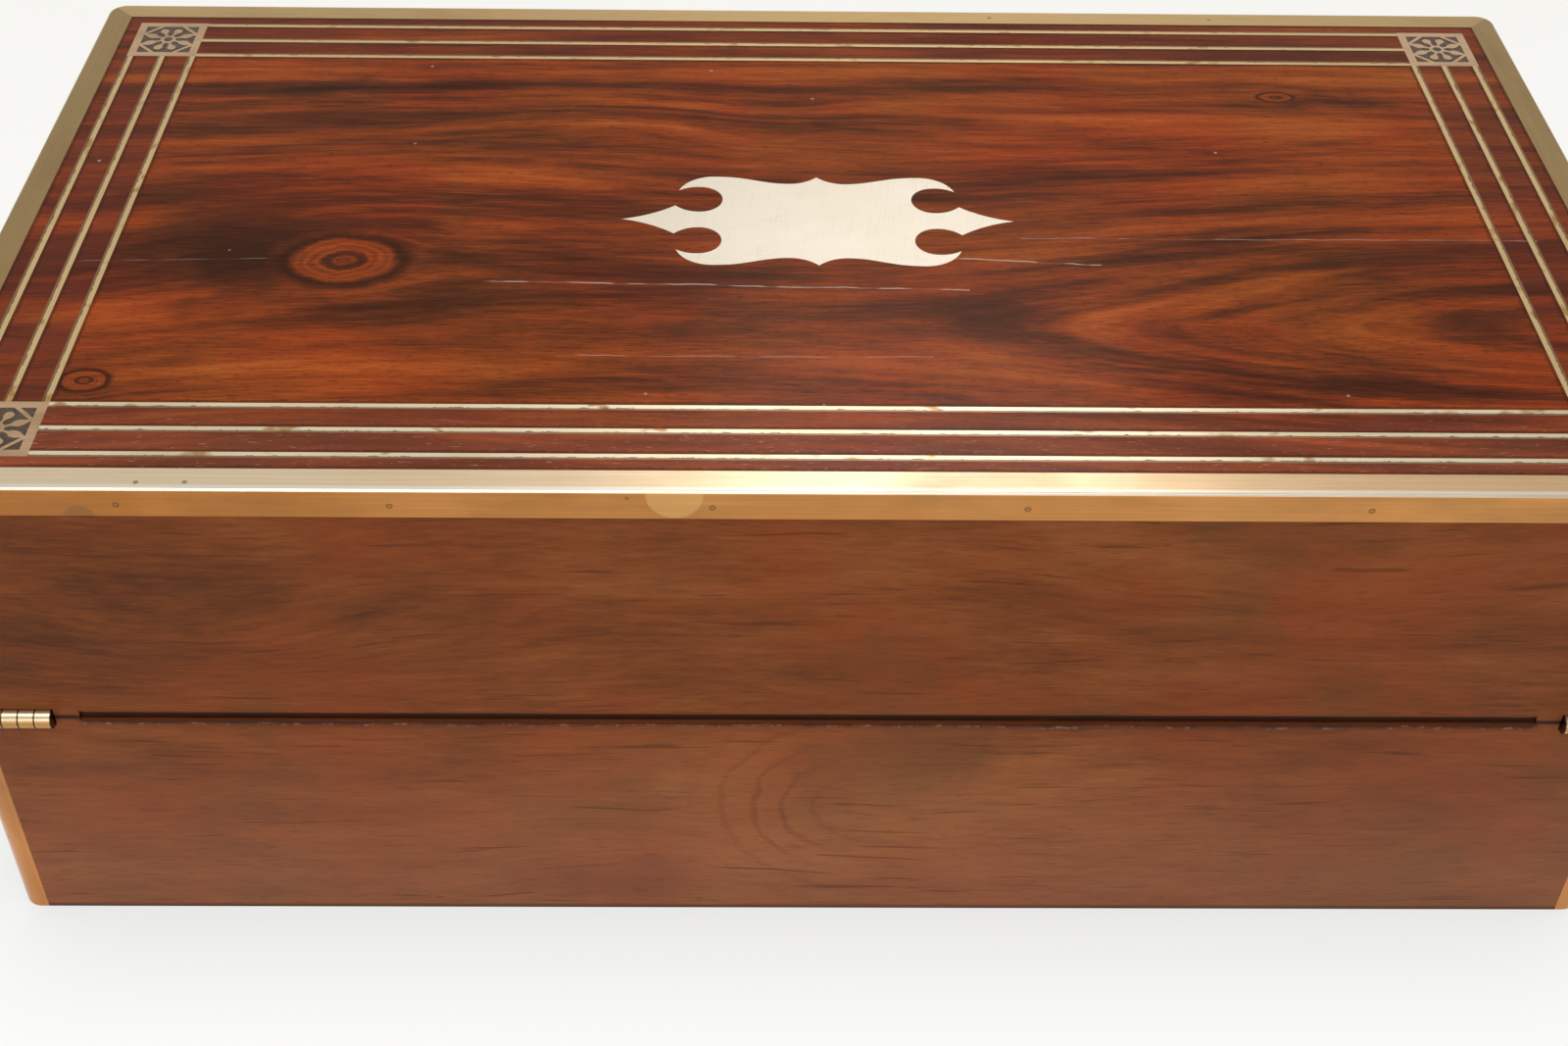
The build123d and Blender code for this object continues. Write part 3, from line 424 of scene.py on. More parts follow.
def lid_rosewood():
    """Rio rosewood, sawn as veneer, French polished: warm streaks under a thin gloss, with a dark knot and splits."""
    material, tree, shader = new_material("rosewood_french_polished", Specular_IOR_Level=0.06)
    place = add_node(tree, "TexCoord").outputs["Object"]
    split = add_node(tree, "SeparateXYZ", place).outputs
    level = wander(tree, place, "x", "y", split[1], 9, 4.0, 12.0)
    level = wander(tree, place, "x", "y", level, 1.1, 26.0, 70.0)
    level = soft_spots(tree, place, level, LID_SWIRLS, "x", "y", MM)
    level, reaches = part_around(tree, place, level, LID_KNOTS, "x", "y")
    level, beside = fold_arches(tree, split[0], level, LID_ARCH)
    apart = add_node(tree, "Math", beside, 0.35, operation="MULTIPLY").outputs[0]
    lines = add_node(tree, "CombineXYZ", split[0], level, apart).outputs[0]

    # bands of the growth rings, streaks in them, and short straight fibres that cross their curves
    broad = streaks(tree, lines, "x", "y", 130, 12, 3.0, 0.6, 0.3, 0.7)
    narrow = streaks(tree, lines, "x", "y", 42, 2.6, 3.0, 0.6, 0.3, 0.7)
    fibre = streaks(tree, place, "x", "y", 11, 0.75, 3.0, 0.6, 0.3, 0.7)
    tone = add_node(tree, "Math", broad, 0.48, 0.11, operation="MULTIPLY_ADD").outputs[0]
    tone = add_node(tree, "Math", narrow, 0.14, tone, operation="MULTIPLY_ADD").outputs[0]
    ragged = add_node(tree, "TexNoise", place, None, 34.0, 3.0, 0.6).outputs[1]
    ragged = add_node(tree, "VectorMath", ragged, (0.06, 0.022, 0.0), (-0.03, -0.011, 0.0), operation="MULTIPLY_ADD")
    moved = add_node(tree, "VectorMath", place, ragged.outputs[0], operation="ADD").outputs[0]
    tone = soft_spots(tree, moved, tone, LID_CLOUDS, "x", "y")
    # wood beside the big knot is evenly dark
    calm = soft_spots(tree, moved, 0.0, ((181, 26, 24, 25, 0.95),), "x", "y")
    tone = add_node(tree, "Mix", sockets={0: calm, 2: tone, 3: 0.02}).outputs[0]
    arch_place = add_node(tree, "MapRange", level, -12 * MM, 12 * MM, 0.0, 1.0).outputs[0]
    arch_tone = add_node(tree, "ValToRGB", arch_place, stops=greys(ARCH_RINGS)).outputs[0]
    arch_tone = add_node(tree, "Math", arch_tone, 0.5, operation="SUBTRACT").outputs[0]
    reached = add_node(tree, "MapRange", split[0], -34 * MM, -48 * MM, 0.0, 0.75).outputs[0]
    left = add_node(tree, "MapRange", split[0], -80 * MM, -175 * MM, 1.0, 0.0).outputs[0]
    reached = add_node(tree, "Math", reached, left, operation="MULTIPLY").outputs[0]
    tone = add_node(tree, "Math", arch_tone, reached, tone, operation="MULTIPLY_ADD").outputs[0]
    wobble = add_node(tree, "TexNoise", place, None, 75.0, 3.0, 0.6).outputs[0]
    for reach in reaches:
        uneven = add_node(tree, "Math", wobble, 0.45, reach, operation="MULTIPLY_ADD").outputs[0]
        ring_place = add_node(tree, "MapRange", uneven, 0.225, 1.725, 0.0, 1.0).outputs[0]
        rings = add_node(tree, "ValToRGB", ring_place, stops=greys(EYE_RINGS)).outputs[0]
        inside = add_node(tree, "MapRange", uneven, 1.28, 1.60, 0.80, 0.0).outputs[0]
        tone = add_node(tree, "Mix", sockets={0: inside, 2: tone, 3: rings}).outputs[0]
    tone = add_node(tree, "Math", fibre, 0.18, tone, operation="MULTIPLY_ADD").outputs[0]
    stops = [(0.14, colour("lid_dark")), (0.38, colour("lid_brown")), (0.60, colour("lid_red")), (0.95, colour("lid_orange"))]
    wood = add_node(tree, "ValToRGB", tone, stops=stops).outputs[0]

    # the heartwood wanders between red and olive brown over some 60 mm
    hue = add_node(tree, "TexNoise", moved, None, 16.0, 2.0, 0.5).outputs[0]
    for start, full, tint in ((0.50, 0.66, (1.05, 0.84, 0.76, 1.0)), (0.50, 0.34, (0.92, 1.08, 0.98, 1.0))):
        share = add_node(tree, "MapRange", hue, start, full, 0.0, 0.9).outputs[0]
        mixed = {0: share, 6: wood, 7: tint}
        wood = add_node(tree, "Mix", data_type="RGBA", blend_type="MULTIPLY", sockets=mixed).outputs[2]

    # pores are open vessels some 4 mm long and a quarter of a millimetre wide, drawn twice as wide to show
    pores = streaks(tree, place, "x", "y", 4, 0.5, 1.0, 0.5, 0.60, 0.70)
    pore_share = add_node(tree, "Math", pores, 0.55, operation="MULTIPLY").outputs[0]
    wood = blend_colour(tree, pore_share, wood, colour("lid_dark"))

    # nearest edge of the lid, for the purple wood of the border and the glue lines beside the strings
    side_x = add_node(tree, "Math", split[0], operation="ABSOLUTE").outputs[0]
    side_y = add_node(tree, "Math", split[1], operation="ABSOLUTE").outputs[0]
    from_x = add_node(tree, "Math", HALF_LENGTH, side_x, operation="SUBTRACT").outputs[0]
    from_y = add_node(tree, "Math", HALF_DEPTH, side_y, operation="SUBTRACT").outputs[0]
    edge = add_node(tree, "Math", from_x, from_y, operation="MINIMUM").outputs[0]
    border = add_node(tree, "MapRange", edge, 37.2 * MM, 36.0 * MM, 0.0, 1.0).outputs[0]
    haze = streaks(tree, lines, "x", "y", 60, 9, 2.0, 0.5)
    share = add_node(tree, "MapRange", haze, 0.0, 1.0, 0.15, 0.65).outputs[0]
    share = add_node(tree, "Math", share, border, operation="MULTIPLY").outputs[0]
    wood = blend_colour(tree, share, wood, colour("border_wood"))
    # the border on the hinge side is lightened as painted sheen, standing for the lamp's glare on the polish; hands and
    # sleeves have scratched it
    sheen_and_scratch_band = add_node(tree, "MapRange", split[1], 92 * MM, 122 * MM, 0.0, 1.0, interpolation_type="SMOOTHSTEP").outputs[0]
    # painted sheen: rubbed here is the share of the lamp's glare painted into the border, not wear
    rubbed = add_node(tree, "MapRange", broad, 0.0, 1.0, 0.16, 0.36).outputs[0]
    rubbed = add_node(tree, "Math", rubbed, sheen_and_scratch_band, operation="MULTIPLY").outputs[0]
    wood = blend_colour(tree, rubbed, wood, linear("#B0664A"))
    scratch = streaks(tree, place, "x", "y", 3.5, 0.3, 1.0, 0.5, 0.70, 0.74)
    scratch = add_node(tree, "Math", scratch, sheen_and_scratch_band, operation="MULTIPLY").outputs[0]
    scratch = add_node(tree, "Math", scratch, 0.45, operation="MULTIPLY").outputs[0]
    wood = blend_colour(tree, scratch, wood, linear("#C9B4AA"))
    # glue and filler stand beside the brass in a ragged line, and fill the wood's chips
    chips = add_node(tree, "TexNoise", place, None, 380.0, 3.0, 0.7).outputs[0]
    frayed = add_node(tree, "MapRange", chips, 0.3, 0.7, -0.45 * MM, 0.45 * MM).outputs[0]
    frayed = add_node(tree, "Math", edge, frayed, operation="ADD").outputs[0]
    for offset in (FLANGE_WIDTH - STRING_WIDTH / 2, *STRING_OFFSETS):
        glue = add_node(tree, "Math", frayed, offset, STRING_WIDTH / 2 + 0.15 * MM, operation="COMPARE").outputs[0]
        glue = add_node(tree, "Math", glue, 0.5, operation="MULTIPLY").outputs[0]
        wood = blend_colour(tree, glue, wood, colour("lid_dark"))

    # splits filled with pale wax: (x from, x to, y at x = 0, rise, strength)
    uneven = add_node(tree, "TexNoise", place, None, 60.0, 3.0, 0.6).outputs[0]
    broken = add_node(tree, "TexNoise", place, None, 120.0, 1.0, 0.5).outputs[0]
    splits = ((-48, 100, 40.6, -0.022, 0.9), (-90, -44, 21.0, -0.075, 0.9), (-230, -66, 13.2, 0.002, 0.4), (168, 228, 22, 0.03, 0.2),
              (-35, 75, 76, 0.0, 0.35))
    for start, end, height, rise, strength in splits:
        line = add_node(tree, "Math", split[0], -rise, split[1], operation="MULTIPLY_ADD").outputs[0]
        line = add_node(tree, "Math", uneven, 2.4 * MM, line, operation="MULTIPLY_ADD").outputs[0]
        crack = add_node(tree, "Math", line, (height + 1.2) * MM, 0.24 * MM, operation="COMPARE").outputs[0]
        middle, reach = (start + end) / 2 * MM, (end - start) / 2 * MM
        inside = add_node(tree, "Math", split[0], middle, reach, operation="COMPARE").outputs[0]
        gaps = add_node(tree, "MapRange", broken, 0.40, 0.56, 0.15 * strength, strength).outputs[0]
        crack = add_node(tree, "Math", crack, inside, operation="MULTIPLY").outputs[0]
        crack = add_node(tree, "Math", crack, gaps, operation="MULTIPLY").outputs[0]
        wood = blend_colour(tree, crack, wood, linear("#C4AEA6"))

    # dust and wax left in small dents
    dust = add_node(tree, "TexVoronoi", place, None, 60.0).outputs
    dot = add_node(tree, "MapRange", dust[0], 0.042, 0.026, 0.0, 1.0).outputs[0]
    kept = add_node(tree, "SeparateColor", dust[1]).outputs[0]
    kept = add_node(tree, "Math", kept, 0.80, operation="GREATER_THAN").outputs[0]
    dot = add_node(tree, "Math", dot, kept, operation="MULTIPLY").outputs[0]
    dot = add_node(tree, "Math", dot, 0.7, operation="MULTIPLY").outputs[0]
    wood = blend_colour(tree, dot, wood, linear("#B5A49A"))

    # the veneer is a millimetre thick, and under it the board is plain mahogany
    ground = add_node(tree, "ValToRGB", tone, stops=[(0.1, colour("inner_dark")), (0.9, colour("inner_light"))]).outputs[0]
    veneer = add_node(tree, "Math", split[2], LID_TOP - 2.0 * MM, operation="GREATER_THAN").outputs[0]
    wood = blend_colour(tree, veneer, ground, wood)
    tree.links.new(wood, shader.inputs["Base Color"])

    rough = add_node(tree, "MapRange", narrow, 0.0, 1.0, 0.20, 0.30).outputs[0]
    tree.links.new(rough, shader.inputs["Roughness"])
    height = add_node(tree, "Math", pores, -1.0, operation="MULTIPLY").outputs[0]
    bump = add_node(tree, "Bump", 0.25, 0.05 * MM, sockets={"Height": height})
    tree.links.new(bump.outputs[0], shader.inputs["Normal"])
    return material


WALL_KNOTS = ((-20.0, 50.0, 13.0, 11.0),)
WALL_SWIRLS = ((180, 120, 60, 20, 12), (-150, 140, 80, 16, 10), (60, 20, 50, 16, -9))
WALL_CLOUDS = (
    (68, 14, 24, 10, -0.44),
    (46, 24, 12, 10, -0.22),
    (66, 44, 30, 5, -0.12),
    (10, 46, 80, 34, 0.30),
    (-150, 80, 90, 16, -0.12),
    (190, 50, 70, 34, -0.13),
    (232, 112, 26, 26, -0.12),
    (-70, 60, 60, 18, 0.14),
    (-190, 45, 60, 30, -0.12),
    (180, 140, 70, 28, -0.17),
    (-20, 150, 120, 14, 0.10),
)


# Strength of the painted shade along the hinge side's seam, from 5.5 mm below the seam to 0.5 mm above it
SEAM_SHADE = ((0.0, 0.0), (0.30, 0.14), (0.50, 0.52), (0.62, 0.88), (0.80, 0.88), (0.92, 0.45), (1.0, 0.0))


def wall_rosewood(name, along):
    """Plain rosewood veneer, waxed and rubbed dull: soft low streaks, with painted shade along the seam's edges, which
    are also worn.
    """
    material, tree, shader = new_material(name, Roughness=0.45, Specular_IOR_Level=0.12)
    place = add_node(tree, "TexCoord").outputs["Object"]
    split = add_node(tree, "SeparateXYZ", place).outputs
    level = wander(tree, place, along, "z", split[2], 7, 5.0, 14.0)
    level = wander(tree, place, along, "z", level, 1.6, 30.0, 60.0)
    level = soft_spots(tree, place, level, WALL_SWIRLS, along, "z", MM)
    reaches = part_around(tree, place, level, WALL_KNOTS, along, "z")[1]
    parts = [split[0], split[1], level]
    lines = add_node(tree, "CombineXYZ", *parts).outputs[0]
    broad = streaks(tree, lines, along, "z", 60, 15, 3.0, 0.6, 0.3, 0.7)
    narrow = streaks(tree, lines, along, "z", 16, 1.6, 3.0, 0.6, 0.3, 0.7)
    fibre = streaks(tree, place, along, "z", 7, 0.55, 3.0, 0.6, 0.3, 0.7)
    # the base's walls are a little lighter than the lid's
    rise = add_node(tree, "VectorMath", place, (0.0, sin(SLOPE), cos(SLOPE)), operation="DOT_PRODUCT").outputs[1]
    above = add_node(tree, "Math", rise, HINGE.y * sin(SLOPE) + HINGE.z * cos(SLOPE), operation="SUBTRACT").outputs[0]
    tone = add_node(tree, "MapRange", above, 0.0, -3 * MM, 0.17, 0.24).outputs[0]
    tone = add_node(tree, "Math", broad, 0.30, tone, operation="MULTIPLY_ADD").outputs[0]
    tone = add_node(tree, "Math", narrow, 0.20, tone, operation="MULTIPLY_ADD").outputs[0]
    tone = add_node(tree, "Math", fibre, 0.16, tone, operation="MULTIPLY_ADD").outputs[0]
    ragged = add_node(tree, "TexNoise", place, None, 34.0, 3.0, 0.6).outputs[1]
    ragged = add_node(tree, "VectorMath", ragged, (0.05, 0.05, 0.02), (-0.025, -0.025, -0.01), operation="MULTIPLY_ADD")
    moved = add_node(tree, "VectorMath", place, ragged.outputs[0], operation="ADD").outputs[0]
    if along == "x":
        tone = soft_spots(tree, moved, tone, WALL_CLOUDS, along, "z")
        # faint growth rings stand around the figure low on the hinge side
        uneven = add_node(tree, "TexNoise", place, None, 90.0, 3.0, 0.6).outputs[0]
        uneven = add_node(tree, "Math", uneven, 0.5, reaches[0], operation="MULTIPLY_ADD").outputs[0]
        rings = add_node(tree, "Math", uneven, 2.0 * pi * 1.35, operation="MULTIPLY").outputs[0]
        rings = add_node(tree, "Math", rings, operation="SINE").outputs[0]
        rings = add_node(tree, "MapRange", rings, 0.6, 1.0, 0.0, 1.0).outputs[0]
        near = soft_spots(tree, place, 0.0, ((10, 50, 18, 28, 0.40),), along, "z")
        hinge_side = add_node(tree, "Math", split[1], 0.0, operation="GREATER_THAN").outputs[0]
        faint = add_node(tree, "Math", rings, near, operation="MULTIPLY").outputs[0]
        faint = add_node(tree, "Math", faint, hinge_side, operation="MULTIPLY").outputs[0]
        tone = add_node(tree, "Math", tone, faint, operation="SUBTRACT").outputs[0]
    stops = [(0.10, colour("wall_dark")), (0.48, colour("wall_brown")), (0.90, colour("wall_light"))]
    wood = add_node(tree, "ValToRGB", tone, stops=stops).outputs[0]
    patch = add_node(tree, "TexNoise", place, None, 24.0, 3.0, 0.5).outputs[0]
    patch = add_node(tree, "MapRange", patch, 0.42, 0.66, 0.0, 0.45).outputs[0]
    wood = blend_colour(tree, patch, wood, colour("wall_red"))
    shade = add_node(tree, "TexNoise", moved, None, 13.0, 3.0, 0.55).outputs[0]
    shade = add_node(tree, "MapRange", shade, 0.50, 0.70, 0.0, 0.45).outputs[0]
    wood = blend_colour(tree, shade, wood, colour("wall_olive"))
    # low on the base the walls are mixed a little towards a paler wood
    paler_low = add_node(tree, "MapRange", above, -1 * MM, -70 * MM, 0.0, 0.24).outputs[0]
    wood = blend_colour(tree, paler_low, wood, colour("wall_pale_low"))
    pores = streaks(tree, place, along, "z", 6, 0.4, 1.0, 0.5, 0.60, 0.74)
    pore_share = add_node(tree, "Math", pores, 0.35, operation="MULTIPLY").outputs[0]
    wood = blend_colour(tree, pore_share, wood, colour("wall_dark"))
    dark_line = streaks(tree, lines, along, "z", 38, 1.3, 1.0, 0.5, 0.68, 0.74)
    dark_share = add_node(tree, "Math", dark_line, 0.5, operation="MULTIPLY").outputs[0]
    wood = blend_colour(tree, dark_share, wood, colour("wall_dark"))
    # painted shade, with some soiling: the walls darken over the last 2 mm above the foot, where they meet the floor
    foot_shade_and_soil = add_node(tree, "MapRange", split[2], FOOT + 2.2 * MM, FOOT + 0.4 * MM, 0.0, 0.75).outputs[0]
    wood = blend_colour(tree, foot_shade_and_soil, wood, linear("#2A160D"))

    # the rims, shut away from the light, have kept a deeper red
    facing = add_node(tree, "TexCoord").outputs["Normal"]
    facing = add_node(tree, "VectorMath", facing, (0.0, sin(SLOPE), cos(SLOPE)), operation="DOT_PRODUCT").outputs[1]
    facing = add_node(tree, "Math", facing, operation="ABSOLUTE").outputs[0]
    level_face = add_node(tree, "MapRange", facing, 0.5, 0.8, 0.0, 0.55).outputs[0]
    wood = blend_colour(tree, level_face, wood, linear("#6A3420"))
    upright = add_node(tree, "MapRange", facing, 0.5, 0.8, 1.0, 0.0).outputs[0]

    # painted shadow: the seam and its groove are darkened as the shade in them, and the edge below them is rubbed
    away = add_node(tree, "Math", above, operation="ABSOLUTE").outputs[0]
    seam_shadow = add_node(tree, "MapRange", away, 1.1 * MM, 0.5 * MM, 0.0, 0.92).outputs[0]
    seam_shadow = add_node(tree, "Math", seam_shadow, upright, operation="MULTIPLY").outputs[0]
    sunk = add_node(tree, "MapRange", split[1], HALF_DEPTH - 0.3 * MM, HALF_DEPTH - 0.7 * MM, 0.0, 0.85).outputs[0]
    groove_shade = add_node(tree, "Math", above, 0.8 * MM, 2.3 * MM, operation="COMPARE").outputs[0]
    groove_shade = add_node(tree, "Math", groove_shade, sunk, operation="MULTIPLY").outputs[0]
    back = add_node(tree, "Math", split[1], HALF_DEPTH - 4 * MM, operation="GREATER_THAN").outputs[0]
    groove_shade = add_node(tree, "Math", groove_shade, back, operation="MULTIPLY").outputs[0]
    groove_shade = add_node(tree, "Math", groove_shade, upright, operation="MULTIPLY").outputs[0]
    wood = blend_colour(tree, groove_shade, wood, linear("#3A2415"))
    wood = blend_colour(tree, seam_shadow, wood, linear("#120A07"))
    # between the hinges the base's arris is rounded; it is painted dark as shade, fading out some 5 mm down, standing
    # for the shadow of a deeper groove
    fray = add_node(tree, "TexNoise", place, None, 110.0, 3.0, 0.6).outputs[0]
    fray = add_node(tree, "MapRange", fray, 0.3, 0.7, -0.6 * MM, 0.6 * MM).outputs[0]
    frayed = add_node(tree, "Math", above, fray, operation="ADD").outputs[0]
    seam_place = add_node(tree, "MapRange", frayed, -5.5 * MM, 0.5 * MM, 0.0, 1.0).outputs[0]
    # painted shade: stain here is the shadow of a deeper groove, not dirt
    stain = add_node(tree, "ValToRGB", seam_place, stops=greys(SEAM_SHADE)).outputs[0]
    from_middle = add_node(tree, "Math", split[0], operation="ABSOLUTE").outputs[0]
    between = add_node(tree, "MapRange", from_middle, GROOVE_REACH + 3 * MM, GROOVE_REACH, 0.0, 1.0).outputs[0]
    stain = add_node(tree, "Math", stain, between, operation="MULTIPLY").outputs[0]
    stain = add_node(tree, "Math", stain, back, operation="MULTIPLY").outputs[0]
    stain = add_node(tree, "Math", stain, upright, operation="MULTIPLY").outputs[0]
    wood = blend_colour(tree, stain, wood, linear("#24130C"))
    arris = add_node(tree, "Math", frayed, -2.7 * MM, 0.5 * MM, operation="COMPARE").outputs[0]
    speckle = add_node(tree, "TexNoise", place, None, 420.0, 2.0, 0.6).outputs[0]
    speckle = add_node(tree, "MapRange", speckle, 0.54, 0.70, 0.0, 0.40).outputs[0]
    worn = add_node(tree, "Math", arris, speckle, operation="MULTIPLY").outputs[0]
    worn = add_node(tree, "Math", worn, upright, operation="MULTIPLY").outputs[0]
    wood = blend_colour(tree, worn, wood, linear("#B08C82"))
    tree.links.new(wood, shader.inputs["Base Color"])
    height = add_node(tree, "Math", pores, -1.0, operation="MULTIPLY").outputs[0]
    bump = add_node(tree, "Bump", 0.35, 0.06 * MM, sockets={"Height": height})
    tree.links.new(bump.outputs[0], shader.inputs["Normal"])
    return material


def mahogany(name, along, across, dark, light, roughness):
    """Mahogany, planed and waxed or oiled: even ribbon grain with fine dark pores."""
    material, tree, shader = new_material(name, Roughness=roughness, Specular_IOR_Level=0.3)
    place = add_node(tree, "TexCoord").outputs["Object"]
    parts = list(add_node(tree, "SeparateXYZ", place).outputs)
    parts[AXIS[across]] = wander(tree, place, along, across, parts[AXIS[across]], 5, 4.0, 14.0)
    lines = add_node(tree, "CombineXYZ", *parts).outputs[0]
    ribbon = streaks(tree, lines, along, across, 220, 9, 3.0, 0.5, 0.3, 0.7)
    fibre = streaks(tree, lines, along, across, 30, 0.9, 2.0, 0.6, 0.3, 0.7)
    tone = add_node(tree, "Math", ribbon, 0.6, operation="MULTIPLY").outputs[0]
    tone = add_node(tree, "Math", fibre, 0.4, tone, operation="MULTIPLY_ADD").outputs[0]
    wood = add_node(tree, "ValToRGB", tone, stops=[(0.0, dark), (1.0, light)]).outputs[0]
    pores = streaks(tree, lines, along, across, 6, 0.35, 1.0, 0.5, 0.60, 0.72)
    share = add_node(tree, "Math", pores, 0.5, operation="MULTIPLY").outputs[0]
    wood = blend_colour(tree, share, wood, dark)
    tree.links.new(wood, shader.inputs["Base Color"])
    height = add_node(tree, "Math", pores, -1.0, operation="MULTIPLY").outputs[0]
    bump = add_node(tree, "Bump", 0.5, 0.08 * MM, sockets={"Height": height})
    tree.links.new(bump.outputs[0], shader.inputs["Normal"])
    return material


# ---------------------------------------------------------------- metals
def worn_brass(name, along, warm, pale, tarnish, roughness=0.33, marks=(), joints=None, spotted=0.35, fade=(), leg=0.0, worn=False):
    """Cast or rolled brass, filed, polished and long handled: drawn lines, tarnish, nicks, and a paler top, partly worn
    and partly a painted reflection of the light above.
    """
    material, tree, shader = new_material(name, Metallic=0.9, Coat_Weight=0.3, Coat_Roughness=0.2)
    place = add_node(tree, "TexCoord").outputs
    across = "z" if along != "z" else "x"
    normal = add_node(tree, "SeparateXYZ", place["Normal"]).outputs[2]
    upward = add_node(tree, "MapRange", normal, 0.25, 0.75, 0.0, 1.0).outputs[0]
    upright = add_node(tree, "Math", 1.0, upward, operation="SUBTRACT").outputs[0]
    # painted highlight: faces that look up take the pale colour, as the reflection of the bright room and lamps above,
    # along with their wear
    metal = blend_colour(tree, upward, warm, pale)
    blotch = add_node(tree, "TexNoise", place["Object"], None, 26.0, 3.0, 0.6).outputs[0]
    blotch = add_node(tree, "MapRange", blotch, 0.40, 0.70, 0.0, 0.35).outputs[0]
    calm = add_node(tree, "MapRange", upward, 0.0, 1.0, 1.0, 0.3).outputs[0]
    blotch = add_node(tree, "Math", blotch, calm, operation="MULTIPLY").outputs[0]
    metal = blend_colour(tree, blotch, metal, linear("#D79A5C"))
    # the brass grows lighter and more orange along x, over the span that fade gives
    if fade:
        lighter_towards_minus_x = add_node(tree, "MapRange", add_node(tree, "SeparateXYZ", place["Object"]).outputs[0], *fade).outputs[0]
        metal = blend_colour(tree, lighter_towards_minus_x, metal, linear("#E0A45E"))
    # a file leaves lines of about a tenth of a millimetre; they are drawn three times as coarse, to show
    drawn = streaks(tree, place["Object"], along, across, 55, 0.3, 2.0, 0.6, 0.3, 0.7)
    shade = add_node(tree, "MapRange", drawn, 0.0, 1.0, 0.88, 1.08).outputs[0]
    shade_colour = add_node(tree, "CombineColor", shade, shade, shade).outputs[0]
    metal = blend_colour(tree, 1.0, metal, shade_colour, "MULTIPLY")
    cloud = streaks(tree, place["Object"], along, across, 48, 20, 4.0, 0.6, 0.45, 0.75)
    share = add_node(tree, "Math", cloud, spotted, operation="MULTIPLY").outputs[0]
    if worn:
        share = add_node(tree, "Math", share, calm, operation="MULTIPLY").outputs[0]
    metal = blend_colour(tree, share, metal, tarnish)
    if worn:
        # painted highlight, with some wear: the top's outer arris is lightened nearly to white, as the light its
        # rounded edge catches
        sides = [add_node(tree, "Math", out, operation="ABSOLUTE").outputs[0]
                 for out in add_node(tree, "SeparateXYZ", place["Object"]).outputs[:2]]
        in_x = add_node(tree, "Math", HALF_LENGTH, sides[0], operation="SUBTRACT").outputs[0]
        in_y = add_node(tree, "Math", HALF_DEPTH, sides[1], operation="SUBTRACT").outputs[0]
        rim = add_node(tree, "Math", in_x, in_y, operation="MINIMUM").outputs[0]
        rim = add_node(tree, "MapRange", rim, 1.5 * MM, 0.7 * MM, 0.0, 0.85).outputs[0]
        rim = add_node(tree, "Math", rim, upward, operation="MULTIPLY").outputs[0]
        metal = blend_colour(tree, rim, metal, linear("#FBF3E4"))
    cells = add_node(tree, "TexVoronoi", place["Object"], None, 75.0).outputs
    nick = add_node(tree, "MapRange", cells[0], 0.075, 0.045, 0.0, 1.0).outputs[0]
    kept = add_node(tree, "SeparateColor", cells[1]).outputs[0]
    kept = add_node(tree, "Math", kept, 0.80, operation="GREATER_THAN").outputs[0]
    nick = add_node(tree, "Math", nick, kept, operation="MULTIPLY").outputs[0]
    nick_share = add_node(tree, "Math", nick, 0.7, operation="MULTIPLY").outputs[0]
    metal = blend_colour(tree, nick_share, metal, tarnish)
    for shape, x, z, radius, tint, strength in marks:
        offset = add_node(tree, "VectorMath", place["Object"], (x * MM, 0.0, z * MM), operation="SUBTRACT").outputs[0]
        flat = add_node(tree, "VectorMath", offset, (1.0, 0.0, 1.0), operation="MULTIPLY").outputs[0]
        distance = add_node(tree, "VectorMath", flat, operation="LENGTH").outputs[1]
        if shape == "ring":
            mask = add_node(tree, "Math", distance, radius * MM, 0.18 * MM, operation="COMPARE").outputs[0]
        else:
            mask = add_node(tree, "MapRange", distance, (radius + 0.3) * MM, (radius - 0.3) * MM, 0.0, 1.0).outputs[0]
        mask = add_node(tree, "Math", mask, strength, operation="MULTIPLY").outputs[0]
        mask = add_node(tree, "Math", mask, upright, operation="MULTIPLY").outputs[0]
        metal = blend_colour(tree, mask, metal, linear(tint))
    if leg:
        # polish has dried dark along the joint between a strap's two legs and the wood
        sides = [add_node(tree, "Math", out, operation="ABSOLUTE").outputs[0]
                 for out in add_node(tree, "SeparateXYZ", place["Object"]).outputs[:2]]
        in_x = add_node(tree, "Math", HALF_LENGTH, sides[0], operation="SUBTRACT").outputs[0]
        in_y = add_node(tree, "Math", HALF_DEPTH, sides[1], operation="SUBTRACT").outputs[0]
        inward = add_node(tree, "Math", in_x, in_y, operation="MAXIMUM").outputs[0]
        line = add_node(tree, "MapRange", inward, leg - 0.9 * MM, leg - 0.1 * MM, 0.0, 0.7).outputs[0]
        metal = blend_colour(tree, line, metal, linear("#4A3018"))
        # painted highlight: the strap's rounded corner is lightened, as the light it catches
        arris = add_node(tree, "MapRange", inward, 1.6 * MM, 0.3 * MM, 0.0, 0.5).outputs[0]
        metal = blend_colour(tree, arris, metal, linear("#EFCB8C"))
    if joints:
